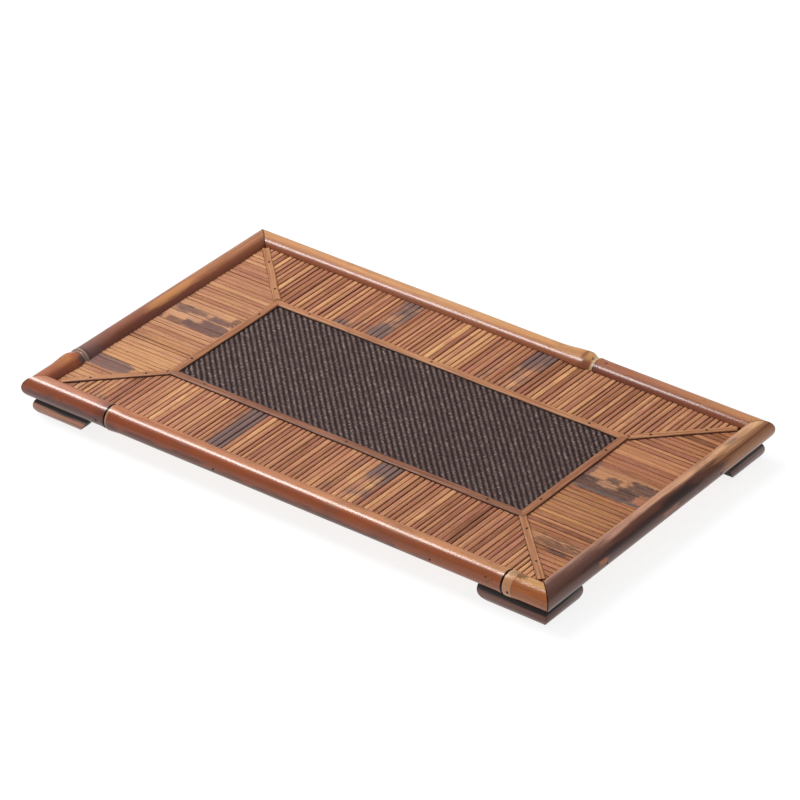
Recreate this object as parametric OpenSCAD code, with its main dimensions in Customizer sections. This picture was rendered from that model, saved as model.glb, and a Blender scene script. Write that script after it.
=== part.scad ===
// Low rectangular tea tray of varnished bamboo. Four round culms, mitred at the corners, hold a
// board in a slot. Split slats cover the board round a woven mat, flat strips frame the mat and
// cover the diagonal seams, and a mitred foot of thinner culm stands under each corner.

/* [Tray] */
// Length over the plain culms
tray_l = 480; // [420:5:560]
// Width over the plain culms
tray_w = 285; // [270:1:340]
// Width of slats seen between a rail and the mat's border
slat_show = 57.8; // [50:0.2:64]

/* [Rails] */
// Diameter of a rail culm halfway along
culm_d = 18.4; // [17:0.1:20]
// Thickness of a rail culm's wall
culm_wall = 3.6; // [2.8:0.1:4.2]
// Diameter that a rail gains from its thin end to its thick end
culm_taper = 1; // [0:0.1:1.2]
// Thickness of the partition inside a rail at each node
diaphragm_t = 2.4; // [1.5:0.1:4]
// Depth to which the board and slats enter a rail
slot_depth = 4.7; // [4:0.1:5.5]
// Height of the board's top above a rail's axis
board_rise = 0.8; // [0.2:0.1:1.2]

/* [Culm nodes] */
// Front rail's left node, from the left end
front_left_node = 80; // [60:1:100]
// Front rail's right node, from the right end
front_right_node = 40.5; // [36:0.5:70]
// Back rail's node, from the right end
back_node = 152; // [120:1:180]
// Left rail's node, from the front end
left_node = 55; // [44:1:90]
// Radius gained beside a small node
small_swell = 0.7; // [0.2:0.1:1]
// Length of the swelling at a small node
small_swell_l = 13; // [8:1:18]
// Radius gained beside the left rail's node
left_swell = 1.1; // [0.4:0.1:1.4]
// Length of the swelling at the left rail's node
left_swell_l = 18; // [12:1:22]
// Radius gained beside the back rail's node
back_swell = 2; // [1:0.1:2.2]
// Length of the swelling at the back rail's node
back_swell_l = 34; // [20:1:50]
// Distance from a small node's swelling to its scar
small_neck_l = 2; // [1:0.1:4]
// Radius lost in the neck of a large node
neck_depth = 0.9; // [0.3:0.1:1.2]
// Length of the neck of a large node
neck_l = 9; // [6:0.5:11]
// Depth of the sheath scar, the ring groove of a node
scar_depth = 0.5; // [0.2:0.1:0.7]
// Width of the sheath scar
scar_w = 1; // [0.6:0.1:1.6]
// Radius gained at the lip beyond the scar
lip = 0.3; // [0.1:0.1:0.6]

/* [Board and mat] */
// Thickness of the board
board_t = 5; // [4:0.1:6]
// Thickness of the woven mat to the top of its ribs
mat_t = 1.8; // [1.4:0.1:2.4]
// Height of the mat's diagonal ribs
rib_h = 0.7; // [0.3:0.1:1]
// Spacing of the mat's ribs, square to them
rib_pitch = 4.1; // [3.5:0.1:5]

/* [Slats] */
// Thickness of a slat
slat_t = 2; // [1.5:0.1:2.4]
// Width of the narrowest slat
slat_w_min = 3.5; // [3:0.1:4]
// Width of the widest common slat
slat_w_max = 5; // [4.2:0.1:6]
// Width of a stained board among the end slats
stained_w = 13.5; // [10:0.5:16]
// Gap between neighbouring slats
slat_gap = 0.35; // [0.2:0.05:0.6]
// Bevel on a slat's top edges
slat_bevel = 0.6; // [0.3:0.1:0.9]
// Open seam under the border and mitre strips
seam = 1.5; // [1.4:0.1:2.2]

/* [Strips] */
// Width of the strips round the mat
border_w = 6.8; // [5:0.1:8]
// Width of the strips on the diagonals
mitre_w = 6; // [5:0.1:8]
// Thickness of all strips
strip_t = 1.5; // [1.2:0.1:2]
// Bevel on a strip's top edges
strip_bevel = 0.5; // [0.2:0.1:0.7]

/* [Feet] */
// Diameter of the culm that a foot is made of
foot_d = 16.4; // [15.6:0.1:18]
// Height planed off a foot's underside
foot_plane = 2; // [1.5:0.1:3]
// Distance of a foot's axis inside its rail's axis
foot_in = 4.3; // [3:0.1:5]
// Distance from a foot's axis to its split inner face
foot_split = 4.6; // [3:0.1:6]
// Depth to which a foot is coped round its rail
cope = 0.6; // [0.3:0.1:1]
// Length of the legs along the front and back rails
long_leg = 60; // [52:1:80]
// Length of the front left foot's long leg, which has a slanted end
slant_leg = 57; // [52:1:80]
// Length of the legs along the left and right rails
short_leg = 45; // [38:1:60]
// Run of the rounded end of a leg
leg_end = 10.5; // [7:0.5:12]
// Run of the slanted end of a leg
slant_run = 12.5; // [7:0.5:14]

/* [Nails] */
// Shank diameter of every nail
shank_d = 1.2; // [1:0.1:1.3]
// Head diameter of the strip nails
head_d = 2.2; // [1.8:0.1:2.6]
// Head thickness of every nail
head_t = 0.5; // [0.4:0.1:0.7]
// Length of a strip nail under its head
strip_nail_l = 7.5; // [5.5:0.5:8]
// Head diameter of the rail and foot nails
big_head_d = 2.8; // [2.4:0.1:3.2]
// Length of a rail nail under its head
rail_nail_l = 22; // [18:0.5:26]
// Length of a foot nail under its head
foot_nail_l = 16; // [14.5:0.5:17]
// Depth to which rail and foot nails are sunk
nail_sink = 0.7; // [0.5:0.1:1]
// Long border strip's outer nails, from its ends
border_nail_end = 34; // [20:1:50]
// Side border strip's nails, from its ends
side_nail_end = 26; // [16:1:34]
// Front border strip's middle nail, from the middle
front_mid_nail = 3; // [-20:1:20]
// Back border strip's middle nail, from the middle
back_mid_nail = -14; // [-20:1:20]
// Mitre strip's inner nail, from its inner end
mitre_nail_in = 15; // [12:1:30]
// Mitre strip's outer nail, from its outer end
mitre_nail_out = 22; // [12:1:30]
// Outer rail nail at a long rail's left end
long_nail_left = 72; // [60:1:76]
// Inner rail nail at a long rail's left end
long_nail_mid = 183; // [160:1:200]
// Inner rail nail at a long rail's right end
long_nail_inner = 102; // [90:1:130]
// Outer rail nail at a long rail's right end
long_nail_right = 35; // [30:1:40]
// Side rail nails, from the rail's ends
side_rail_nail = 71; // [62:1:100]
// Foot nail nearest the corner, from the corner
foot_nail_near = 17; // [15:1:20]
// Foot nail nearest a leg's end, from the end of the sole
foot_nail_far = 4.5; // [4:0.5:8]

/* [Hidden] */

$fn = 48;

// Clearance between wooden pieces that are fitted together
fit = 0.1;
// Clearance round a nail in its hole
nail_fit = 0.05;
// Steps of a smooth swelling along a culm
swell_steps = 6;
// Length of the shortest slat that is laid in a corner
least_slat = 4;
// Seed of the slats' widths, the same stock for the front and back panels
long_stock = 7;
// Seed of the end slats' widths
end_stock = 21;
// Margin by which a cutting solid runs past what it cuts
past = 4;
// Length of the lip beyond a node's scar
lip_l = 6;
// Stretches of the tray's width where the left panel has stained boards
left_stains = [[-94, -86], [-15, 6]];
// Stretches of the tray's width where the right panel has stained boards
right_stains = [[-86, -78], [-12, 9]];

culm_r = culm_d / 2;
foot_r = foot_d / 2;
foot_z = foot_r - foot_plane;
rail_z = foot_z + sqrt(pow(culm_r + foot_r - cope, 2) - pow(foot_in, 2));
rail_x = tray_l / 2 - culm_r;
rail_y = tray_w / 2 - culm_r;
// The mitre lines run at 45 degrees through the crossings of the rails' axes
mitre_off = rail_x - rail_y;

board_top = rail_z + board_rise;
board_bottom = board_top - board_t;
slat_top = board_top + slat_t;
board_x = rail_x - culm_r + slot_depth;
board_y = rail_y - culm_r + slot_depth;

border_x = rail_x - culm_r - slat_show;
border_y = rail_y - culm_r - slat_show;
seam_x = border_x - border_w / 2;
seam_y = border_y - border_w / 2;
slat_in_x = seam_x + seam / 2;
slat_in_y = seam_y + seam / 2;
mat_x = seam_x - seam / 2;
mat_y = seam_y - seam / 2;

// A rail's inner surface at the height of the strips, where the mitre strips end
strip_foot = slat_top - rail_z;
rail_in = sqrt(pow(culm_r + small_swell, 2) - pow(strip_foot, 2));
mitre_end = (rail_x - rail_in - border_x) * sqrt(2) - mitre_w / 2;

rail_nail_z = (board_top + board_bottom) / 2 - rail_z;

// Slats

// Rows of [edge, width] for slats laid from one side to the other
function slat_row(half, stock, stains) =
    let (widths = rands(slat_w_min, slat_w_max, ceil(2 * half / slat_w_min), stock))
    [for (i = 0, y = -half, w = slat_width(y, widths[0], stains);
          y + w <= half;
          y = y + w + slat_gap, i = i + 1, w = slat_width(y, widths[i], stains))
        [y, w]];

// A slat that starts in a stained stretch is a wide stained board
function slat_width(y, w, stains) =
    len([for (s = stains) if (s[0] <= y && y < s[1]) s]) > 0 ? stained_w : w;

module slat(w, l) {
    rotate([90, 0, 90])
        linear_extrude(height = l)
            polygon([[0, 0], [w, 0], [w, slat_t - slat_bevel], [w - slat_bevel, slat_t],
                     [slat_bevel, slat_t], [0, slat_t - slat_bevel]]);
}

// Slats along +X from the border's seam to the slot, side by side in Y. The mitre lines leave
// the X axis at cross, and a slat that reaches one is cut along it.
module slat_panel(seam_at, slot_at, cross, stock, stains = []) {
    tip = cross + seam / sqrt(2);
    for (s = slat_row(slot_at - tip - least_slat, stock, stains)) {
        cut = max(abs(s[0]), abs(s[0] + s[1])) + tip > seam_at;
        intersection() {
            translate([seam_at, s[0], board_top]) slat(s[1], slot_at - seam_at);
            if (cut)
                translate([0, 0, board_top - past])
                    linear_extrude(height = slat_t + 2 * past)
                        polygon([[tip, 0], [slot_at + past, slot_at + past - tip],
                                 [slot_at + past, tip - slot_at - past]]);
        }
    }
}

module front_slats() color("peru")
    rotate([0, 0, -90]) slat_panel(slat_in_y, board_y, -mitre_off, long_stock);

module back_slats() color("peru")
    mirror([0, 1, 0]) rotate([0, 0, -90]) slat_panel(slat_in_y, board_y, -mitre_off, long_stock);

module left_slats() color("burlywood")
    mirror([1, 0, 0]) slat_panel(slat_in_x, board_x, mitre_off, end_stock, left_stains);

module right_slats() color("burlywood")
    slat_panel(slat_in_x, board_x, mitre_off, end_stock + 1, right_stains);

// Board and mat

module base_board() color("tan")
    difference() {
        translate([-board_x + fit, -board_y + fit, board_bottom])
            cube([2 * (board_x - fit), 2 * (board_y - fit), board_t]);
        border_nail_places() nail_hole(strip_nail_l);
        mitre_nail_places() nail_hole(strip_nail_l);
        rail_nail_places() sunk_nail_hole(rail_nail_l);
    }

// Section across the mat's ribs, six straight steps to a rib
function rib_wave(reach) =
    let (n = 6 * ceil(reach / rib_pitch))
    [for (i = [-n : n]) [i * rib_pitch / 6, mat_t - rib_h * (1 - cos(60 * i)) / 2]];

module woven_mat() color([0.35, 0.28, 0.27])
    intersection() {
        wave = rib_wave((mat_x + mat_y) / sqrt(2));
        edge = wave[len(wave) - 1][0];
        translate([0, 0, board_top])
            rotate([90, 0, 45])
                linear_extrude(height = 2 * edge, center = true)
                    polygon(concat(wave, [[edge, 0], [-edge, 0]]));
        translate([-mat_x, -mat_y, board_top])
            cube([2 * mat_x, 2 * mat_y, mat_t]);
    }

// Rails

// Changes of radius along one node, as [place, gain]: the swelling, the neck, the scar's groove
// and the lip of the next length. side is 1 where the swelling lies on the low side.
function culm_node(at, side, swell, swell_l, neck, neck_len) =
    [for (i = [0 : swell_steps])
        [at - side * (neck_len + swell_l * (1 - i / swell_steps)),
         swell * (1 - cos(180 * i / swell_steps)) / 2],
     for (i = [1 : swell_steps])
        [at - side * (scar_w / 2 + (neck_len - scar_w / 2) * (1 - i / swell_steps)),
         swell - (swell + neck) * (1 - cos(180 * i / swell_steps)) / 2],
     [at - side * scar_w / 4, -neck - scar_depth],
     [at + side * scar_w / 4, -neck - scar_depth],
     for (i = [0 : swell_steps])
        [at + side * (scar_w / 2 + lip_l * i / swell_steps),
         lip * (1 + cos(180 * i / swell_steps)) / 2]];

function small_node(at) = [at, culm_node(at, -1, small_swell, small_swell_l, 0, small_neck_l)];
function left_rail_node(at) = [at, culm_node(at, -1, left_swell, left_swell_l, neck_depth, neck_l)];
function back_rail_node(at) = [at, culm_node(at, 1, back_swell, back_swell_l, neck_depth, neck_l)];

function upwards(list) =
    let (last = len(list) - 1)
    list[0][0] < list[last][0] ? list : [for (i = [last : -1 : 0]) list[i]];

// The culms, as [length, 1 if the far end is the thick one or -1, nodes]
front_culm = [tray_l, -1, [small_node(front_left_node - tray_l / 2),
                           small_node(tray_l / 2 - front_right_node)]];
back_culm = [tray_l, -1, [back_rail_node(tray_l / 2 - back_node)]];
left_culm = [tray_w, -1, [left_rail_node(tray_w / 2 - left_node)]];
right_culm = [tray_w, -1, []];

function plain_radius(stock, x) = culm_r + stock[1] * culm_taper / 2 * x / stock[0];

// A whole culm along the X axis, larger all round by grow
module culm(stock, grow = 0) {
    half = stock[0] / 2 + past;
    swells = [for (n = stock[2]) for (p = upwards(n[1]))
        [plain_radius(stock, p[0]) + p[1] + grow, p[0]]];
    rotate([0, 90, 0])
        rotate_extrude()
            polygon(concat([[0, -half], [plain_radius(stock, -half) + grow, -half]], swells,
                           [[plain_radius(stock, half) + grow, half], [0, half]]));
}

// The hollows between a culm's partitions
module culm_hollows(stock) {
    half = stock[0] / 2 + 2 * past;
    stops = concat([-half], [for (n = stock[2]) n[0]], [half]);
    for (i = [0 : len(stops) - 2])
        translate([stops[i] + diaphragm_t / 2, 0, 0])
            rotate([0, 90, 0])
                cylinder(h = stops[i + 1] - stops[i] - diaphragm_t, r = culm_r - culm_wall);
}

// A rail along X with its inner side to +Y: hollow, slotted for the board and slats, mitred
module rail(stock) {
    corner = stock[0] / 2 - culm_r - fit / 2;
    reach = culm_r + back_swell + past;
    difference() {
        intersection() {
            culm(stock);
            translate([0, 0, -reach])
                linear_extrude(height = 2 * reach)
                    polygon([[-corner - reach, -reach], [corner + reach, -reach],
                             [corner - reach, reach], [reach - corner, reach]]);
        }
        culm_hollows(stock);
        translate([-stock[0], culm_r - slot_depth - fit, board_rise - board_t - fit])
            cube([2 * stock[0], 2 * culm_r, board_t + slat_t + 2 * fit]);
    }
}

module at_front() translate([0, -rail_y, rail_z]) children();
module at_back() translate([0, rail_y, rail_z]) mirror([0, 1, 0]) children();
module at_left() translate([-rail_x, 0, rail_z]) rotate([0, 0, -90]) children();
module at_right() translate([rail_x, 0, rail_z]) rotate([0, 0, 90]) children();

// Holes of the nails that go through the rails
module rail_holes() {
    rail_nail_places() sunk_nail_hole(rail_nail_l);
    foot_nail_places() sunk_nail_hole(foot_nail_l);
}

module front_rail() color([0.62, 0.36, 0.2])
    difference() {
        at_front() rail(front_culm);
        rail_holes();
    }

module back_rail() color([0.76, 0.55, 0.32])
    difference() {
        at_back() rail(back_culm);
        rail_holes();
    }

module left_rail() color([0.68, 0.42, 0.26])
    difference() {
        at_left() rail(left_culm);
        rail_holes();
    }

module right_rail() color([0.6, 0.4, 0.25])
    difference() {
        at_right() rail(right_culm);
        rail_holes();
    }

// Strips

module strip_section(w) {
    polygon([[-w / 2, 0], [w / 2, 0], [w / 2, strip_t - strip_bevel],
             [w / 2 - strip_bevel, strip_t], [strip_bevel - w / 2, strip_t],
             [-w / 2, strip_t - strip_bevel]]);
}

// A border strip along X whose outer edge is at y = -at, mitred to meet its neighbours
module border_strip(half_l, at) {
    outer = half_l + past - fit / 2;
    inner = half_l - border_w - past - fit / 2;
    intersection() {
        translate([0, border_w / 2 - at, slat_top])
            rotate([90, 0, 90])
                linear_extrude(height = 2 * half_l, center = true)
                    strip_section(border_w);
        translate([0, 0, slat_top - past])
            linear_extrude(height = strip_t + 2 * past)
                polygon([[-outer, -at - past], [outer, -at - past],
                         [inner, border_w + past - at], [-inner, border_w + past - at]]);
    }
}

module border_holes() border_nail_places() nail_hole(strip_nail_l);

module front_border_strip() color("burlywood")
    difference() {
        border_strip(border_x, border_y);
        border_holes();
    }

module back_border_strip() color("burlywood")
    difference() {
        mirror([0, 1, 0]) border_strip(border_x, border_y);
        border_holes();
    }

module left_border_strip() color("burlywood")
    difference() {
        rotate([0, 0, -90]) border_strip(border_y, border_x);
        border_holes();
    }

module right_border_strip() color("burlywood")
    difference() {
        rotate([0, 0, 90]) border_strip(border_y, border_x);
        border_holes();
    }

// The strip over the front right seam: coped round the border's corner, square at the rails
module mitre_strip() {
    difference() {
        translate([border_x, -border_y, slat_top])
            rotate([0, 0, -45]) rotate([90, 0, 90])
                translate([0, 0, -mitre_w])
                    linear_extrude(height = mitre_w + mitre_end)
                        strip_section(mitre_w);
        translate([-border_x - fit, -border_y - fit, slat_top - past])
            cube([2 * (border_x + fit), 2 * (border_y + fit), strip_t + 2 * past]);
        mitre_nail_row() nail_hole(strip_nail_l);
    }
}

module front_left_mitre_strip() color("tan") mirror([1, 0, 0]) mitre_strip();
module front_right_mitre_strip() color("tan") mitre_strip();
module back_left_mitre_strip() color("tan") rotate([0, 0, 180]) mitre_strip();
module back_right_mitre_strip() color("tan") mirror([0, 1, 0]) mitre_strip();

// Feet

// The legs, as [length, run of the end, whether the end is slanted and not rounded]
rounded_stock = [long_leg, leg_end, false];
slanted_stock = [slant_leg, slant_run, true];
short_stock = [short_leg, leg_end, false];

function long_stock_at(side_x, side_y) =
    side_x < 0 && side_y < 0 ? slanted_stock : rounded_stock;

// Side outline of a leg from the corner to its end
module leg_outline(stock) {
    end = stock[0] - foot_r;
    run = stock[1];
    turn = stock[2] ? [[end, foot_z + foot_r]] : [for (a = [15 : 15 : 90])
        [end - run * (1 - sin(a)), run * (1 - cos(a))]];
    polygon(concat([[-foot_d, 0], [end - run, 0]], turn, [[end, foot_d], [-foot_d, foot_d]]));
}

// A leg along +X with its outer face to -Y: planed below, split inside, mitred at the corner
module leg(stock) {
    l = stock[0];
    intersection() {
        translate([-foot_d, 0, foot_z])
            rotate([0, 90, 0]) cylinder(r = foot_r, h = l + foot_d);
        rotate([90, 0, 0])
            linear_extrude(height = 2 * foot_d, center = true) leg_outline(stock);
        linear_extrude(height = foot_d)
            polygon([[fit - foot_d, -foot_d], [l, -foot_d], [l, foot_split],
                     [foot_split + fit, foot_split]]);
    }
}

// Turns what is built at the front left corner of the feet to the corner named by two signs
module at_corner(side_x, side_y) {
    scale([-side_x, -side_y, 1])
        translate([foot_in - rail_x, foot_in - rail_y, 0]) children();
}

module swap_xy() mirror([1, -1, 0]) children();

module long_foot_leg(side_x, side_y) {
    stock = long_stock_at(side_x, side_y);
    difference() {
        at_corner(side_x, side_y) leg(stock);
        if (side_y < 0) at_front() culm(front_culm, fit);
        else at_back() culm(back_culm, fit);
        at_corner(side_x, side_y) leg_nail_row(stock) sunk_nail_hole(foot_nail_l);
    }
}

module short_foot_leg(side_x, side_y) {
    difference() {
        at_corner(side_x, side_y) swap_xy() leg(short_stock);
        if (side_x < 0) at_left() culm(left_culm, fit);
        else at_right() culm(right_culm, fit);
        at_corner(side_x, side_y) swap_xy() leg_nail_row(short_stock) sunk_nail_hole(foot_nail_l);
    }
}

module front_left_foot_long_leg() color([0.55, 0.33, 0.22]) long_foot_leg(-1, -1);
module front_left_foot_short_leg() color([0.5, 0.3, 0.2]) short_foot_leg(-1, -1);
module front_right_foot_long_leg() color([0.55, 0.33, 0.22]) long_foot_leg(1, -1);
module front_right_foot_short_leg() color([0.5, 0.3, 0.2]) short_foot_leg(1, -1);
module back_left_foot_long_leg() color([0.55, 0.33, 0.22]) long_foot_leg(-1, 1);
module back_left_foot_short_leg() color([0.5, 0.3, 0.2]) short_foot_leg(-1, 1);
module back_right_foot_long_leg() color([0.55, 0.33, 0.22]) long_foot_leg(1, 1);
module back_right_foot_short_leg() color([0.5, 0.3, 0.2]) short_foot_leg(1, 1);

// Nails

// A nail driven along -Z, its head on the surface at z = 0
module nail(l, d) {
    rotate_extrude()
        polygon([[0, -l], [shank_d / 2, 2 * shank_d - l], [shank_d / 2, 0], [d / 2, 0],
                 [d / 2, head_t / 2], [d / 4, head_t], [0, head_t]]);
}

module nail_hole(l) {
    translate([0, 0, -l - nail_fit])
        cylinder(d = shank_d + 2 * nail_fit, h = l + nail_fit + past);
}

// A nail whose head is sunk below the surface at z = 0
module sunk_nail(l) translate([0, 0, -nail_sink]) nail(l, big_head_d);

module sunk_nail_hole(l) {
    translate([0, 0, -nail_sink]) {
        nail_hole(l);
        cylinder(d = big_head_d + 2 * nail_fit, h = nail_sink + past);
    }
}

module border_nail_places() {
    row_x = border_x - border_nail_end;
    row_y = border_y - side_nail_end;
    top = slat_top + strip_t;
    for (x = [-row_x, front_mid_nail, row_x]) translate([x, -seam_y, top]) children();
    for (x = [-row_x, back_mid_nail, row_x]) translate([x, seam_y, top]) children();
    for (x = [-seam_x, seam_x], y = [-row_y, row_y]) translate([x, y, top]) children();
}

// The two nails of the front right mitre strip
module mitre_nail_row() {
    for (d = [mitre_nail_in, mitre_end - mitre_nail_out])
        translate([border_x + d / sqrt(2), -border_y - d / sqrt(2), slat_top + strip_t])
            children();
}

module mitre_nail_places() {
    for (a = [0, 180]) rotate([0, 0, a]) {
        mitre_nail_row() children();
        mirror([0, 1, 0]) mitre_nail_row() children();
    }
}

module rail_nail_places() {
    out = sqrt(pow(culm_r, 2) - pow(rail_nail_z, 2));
    for (s = [-1, 1]) {
        for (x = [long_nail_left - tray_l / 2, long_nail_mid - tray_l / 2,
                  tray_l / 2 - long_nail_inner, tray_l / 2 - long_nail_right])
            translate([x, s * (rail_y + out), rail_z + rail_nail_z])
                rotate([-90 * s, 0, 0]) children();
        for (y = [side_rail_nail - tray_w / 2, tray_w / 2 - side_rail_nail])
            translate([s * (rail_x + out), y, rail_z + rail_nail_z])
                rotate([0, 90 * s, 0]) children();
    }
}

// The two nails of a leg along +X, driven up from its sole
module leg_nail_row(stock) {
    for (x = [foot_nail_near - foot_r, stock[0] - foot_r - stock[1] - foot_nail_far])
        translate([x, 0, 0]) rotate([180, 0, 0]) children();
}

module foot_nail_places() {
    for (side_x = [-1, 1], side_y = [-1, 1])
        at_corner(side_x, side_y) {
            leg_nail_row(long_stock_at(side_x, side_y)) children();
            swap_xy() leg_nail_row(short_stock) children();
        }
}

module border_nails() color("dimgray") border_nail_places() nail(strip_nail_l, head_d);
module mitre_nails() color("dimgray") mitre_nail_places() nail(strip_nail_l, head_d);
module rail_nails() color("dimgray") rail_nail_places() sunk_nail(rail_nail_l);
module foot_nails() color("dimgray") foot_nail_places() sunk_nail(foot_nail_l);

base_board();
front_rail();
back_rail();
left_rail();
right_rail();
front_slats();
back_slats();
left_slats();
right_slats();
woven_mat();
front_border_strip();
back_border_strip();
left_border_strip();
right_border_strip();
front_left_mitre_strip();
front_right_mitre_strip();
back_left_mitre_strip();
back_right_mitre_strip();
front_left_foot_long_leg();
front_left_foot_short_leg();
front_right_foot_long_leg();
front_right_foot_short_leg();
back_left_foot_long_leg();
back_left_foot_short_leg();
back_right_foot_long_leg();
back_right_foot_short_leg();
border_nails();
mitre_nails();
rail_nails();
foot_nails();
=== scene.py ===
"""Looks of a low bamboo tea tray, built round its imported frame.

The frame is in metres: +X to the right along the long side, +Y to the back, +Z up. Pieces are
shaped in millimetres, which read more easily, and are brought to metres when they are handed over.
"""

import logging
import math
import random
from dataclasses import dataclass, field
from enum import Enum
from typing import Any, Sequence

import bmesh
import bpy
from mathutils import Matrix, Vector, noise


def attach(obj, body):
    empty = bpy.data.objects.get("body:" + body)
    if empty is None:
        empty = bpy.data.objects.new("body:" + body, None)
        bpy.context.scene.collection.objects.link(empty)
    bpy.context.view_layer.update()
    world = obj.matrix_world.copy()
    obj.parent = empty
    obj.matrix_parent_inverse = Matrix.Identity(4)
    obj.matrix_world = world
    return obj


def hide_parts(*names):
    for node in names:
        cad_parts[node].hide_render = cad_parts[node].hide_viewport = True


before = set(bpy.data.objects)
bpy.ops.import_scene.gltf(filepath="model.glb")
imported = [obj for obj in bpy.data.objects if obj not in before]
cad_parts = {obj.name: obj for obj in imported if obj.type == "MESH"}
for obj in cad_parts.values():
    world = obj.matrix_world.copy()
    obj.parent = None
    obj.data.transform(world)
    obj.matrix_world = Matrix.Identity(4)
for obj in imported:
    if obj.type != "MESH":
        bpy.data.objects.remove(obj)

LOG = logging.getLogger("tea_tray")
BODY = "root"
MM = 0.001
SEED = 23

Colour = tuple[float, float, float, float]
Point = tuple[float, float, float]
Socket = bpy.types.NodeSocket


def colour(red: float, green: float, blue: float) -> Colour:
    """Linear colour of a screen colour.

    Args:
        red: Red, 0 to 255.
        green: Green, 0 to 255.
        blue: Blue, 0 to 255.

    Returns:
        Red, green, blue and an alpha of 1.
    """
    shares = (red / 255, green / 255, blue / 255)
    made = [s / 12.92 if s <= 0.04045 else ((s + 0.055) / 1.055) ** 2.4 for s in shares]
    return (made[0], made[1], made[2], 1.0)


@dataclass(frozen=True)
class TraySizes:
    """Sizes that several pieces share, in millimetres, as the frame has them."""

    length: float = 480.0
    width: float = 285.0
    culm_radius: float = 9.2
    culm_wall: float = 3.6
    culm_taper: float = 1.0
    fit: float = 0.1
    slat_thickness: float = 2.0
    seam: float = 1.5
    slat_show: float = 57.8
    border_width: float = 6.8
    mitre_width: float = 6.0
    strip_thickness: float = 1.5
    foot_radius: float = 8.2
    foot_plane: float = 2.0
    foot_in: float = 4.3
    foot_split: float = 4.6
    cope: float = 0.6
    board_rise: float = 0.8
    board_thickness: float = 5.0
    small_swell: float = 0.7

    @property
    def foot_z(self) -> float:
        """Height of a foot's axis."""
        return self.foot_radius - self.foot_plane

    @property
    def rail_z(self) -> float:
        """Height of the rails' axes."""
        apart = self.culm_radius + self.foot_radius - self.cope
        return self.foot_z + math.sqrt(apart ** 2 - self.foot_in ** 2)

    @property
    def rail_x(self) -> float:
        """Distance of the end rails' axes from the middle."""
        return self.length / 2 - self.culm_radius

    @property
    def rail_y(self) -> float:
        """Distance of the long rails' axes from the middle."""
        return self.width / 2 - self.culm_radius

    @property
    def board_top(self) -> float:
        """Height of the board's top."""
        return self.rail_z + self.board_rise

    @property
    def slat_top(self) -> float:
        """Height of the slats' top."""
        return self.board_top + self.slat_thickness

    @property
    def border_x(self) -> float:
        """Half length of the border round the mat, outside."""
        return self.rail_x - self.culm_radius - self.slat_show

    @property
    def border_y(self) -> float:
        """Half width of the border round the mat, outside."""
        return self.rail_y - self.culm_radius - self.slat_show

    @property
    def mat_x(self) -> float:
        """Half length of the mat."""
        return self.border_x - (self.border_width + self.seam) / 2

    @property
    def mat_y(self) -> float:
        """Half width of the mat."""
        return self.border_y - (self.border_width + self.seam) / 2

    @property
    def mitre_end(self) -> float:
        """Length of a mitre strip from the border's corner to the rails."""
        rise = self.slat_top - self.rail_z
        inner = math.sqrt((self.culm_radius + self.small_swell) ** 2 - rise ** 2)
        return (self.rail_x - inner - self.border_x) * math.sqrt(2) - self.mitre_width / 2


SIZES = TraySizes()


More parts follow.
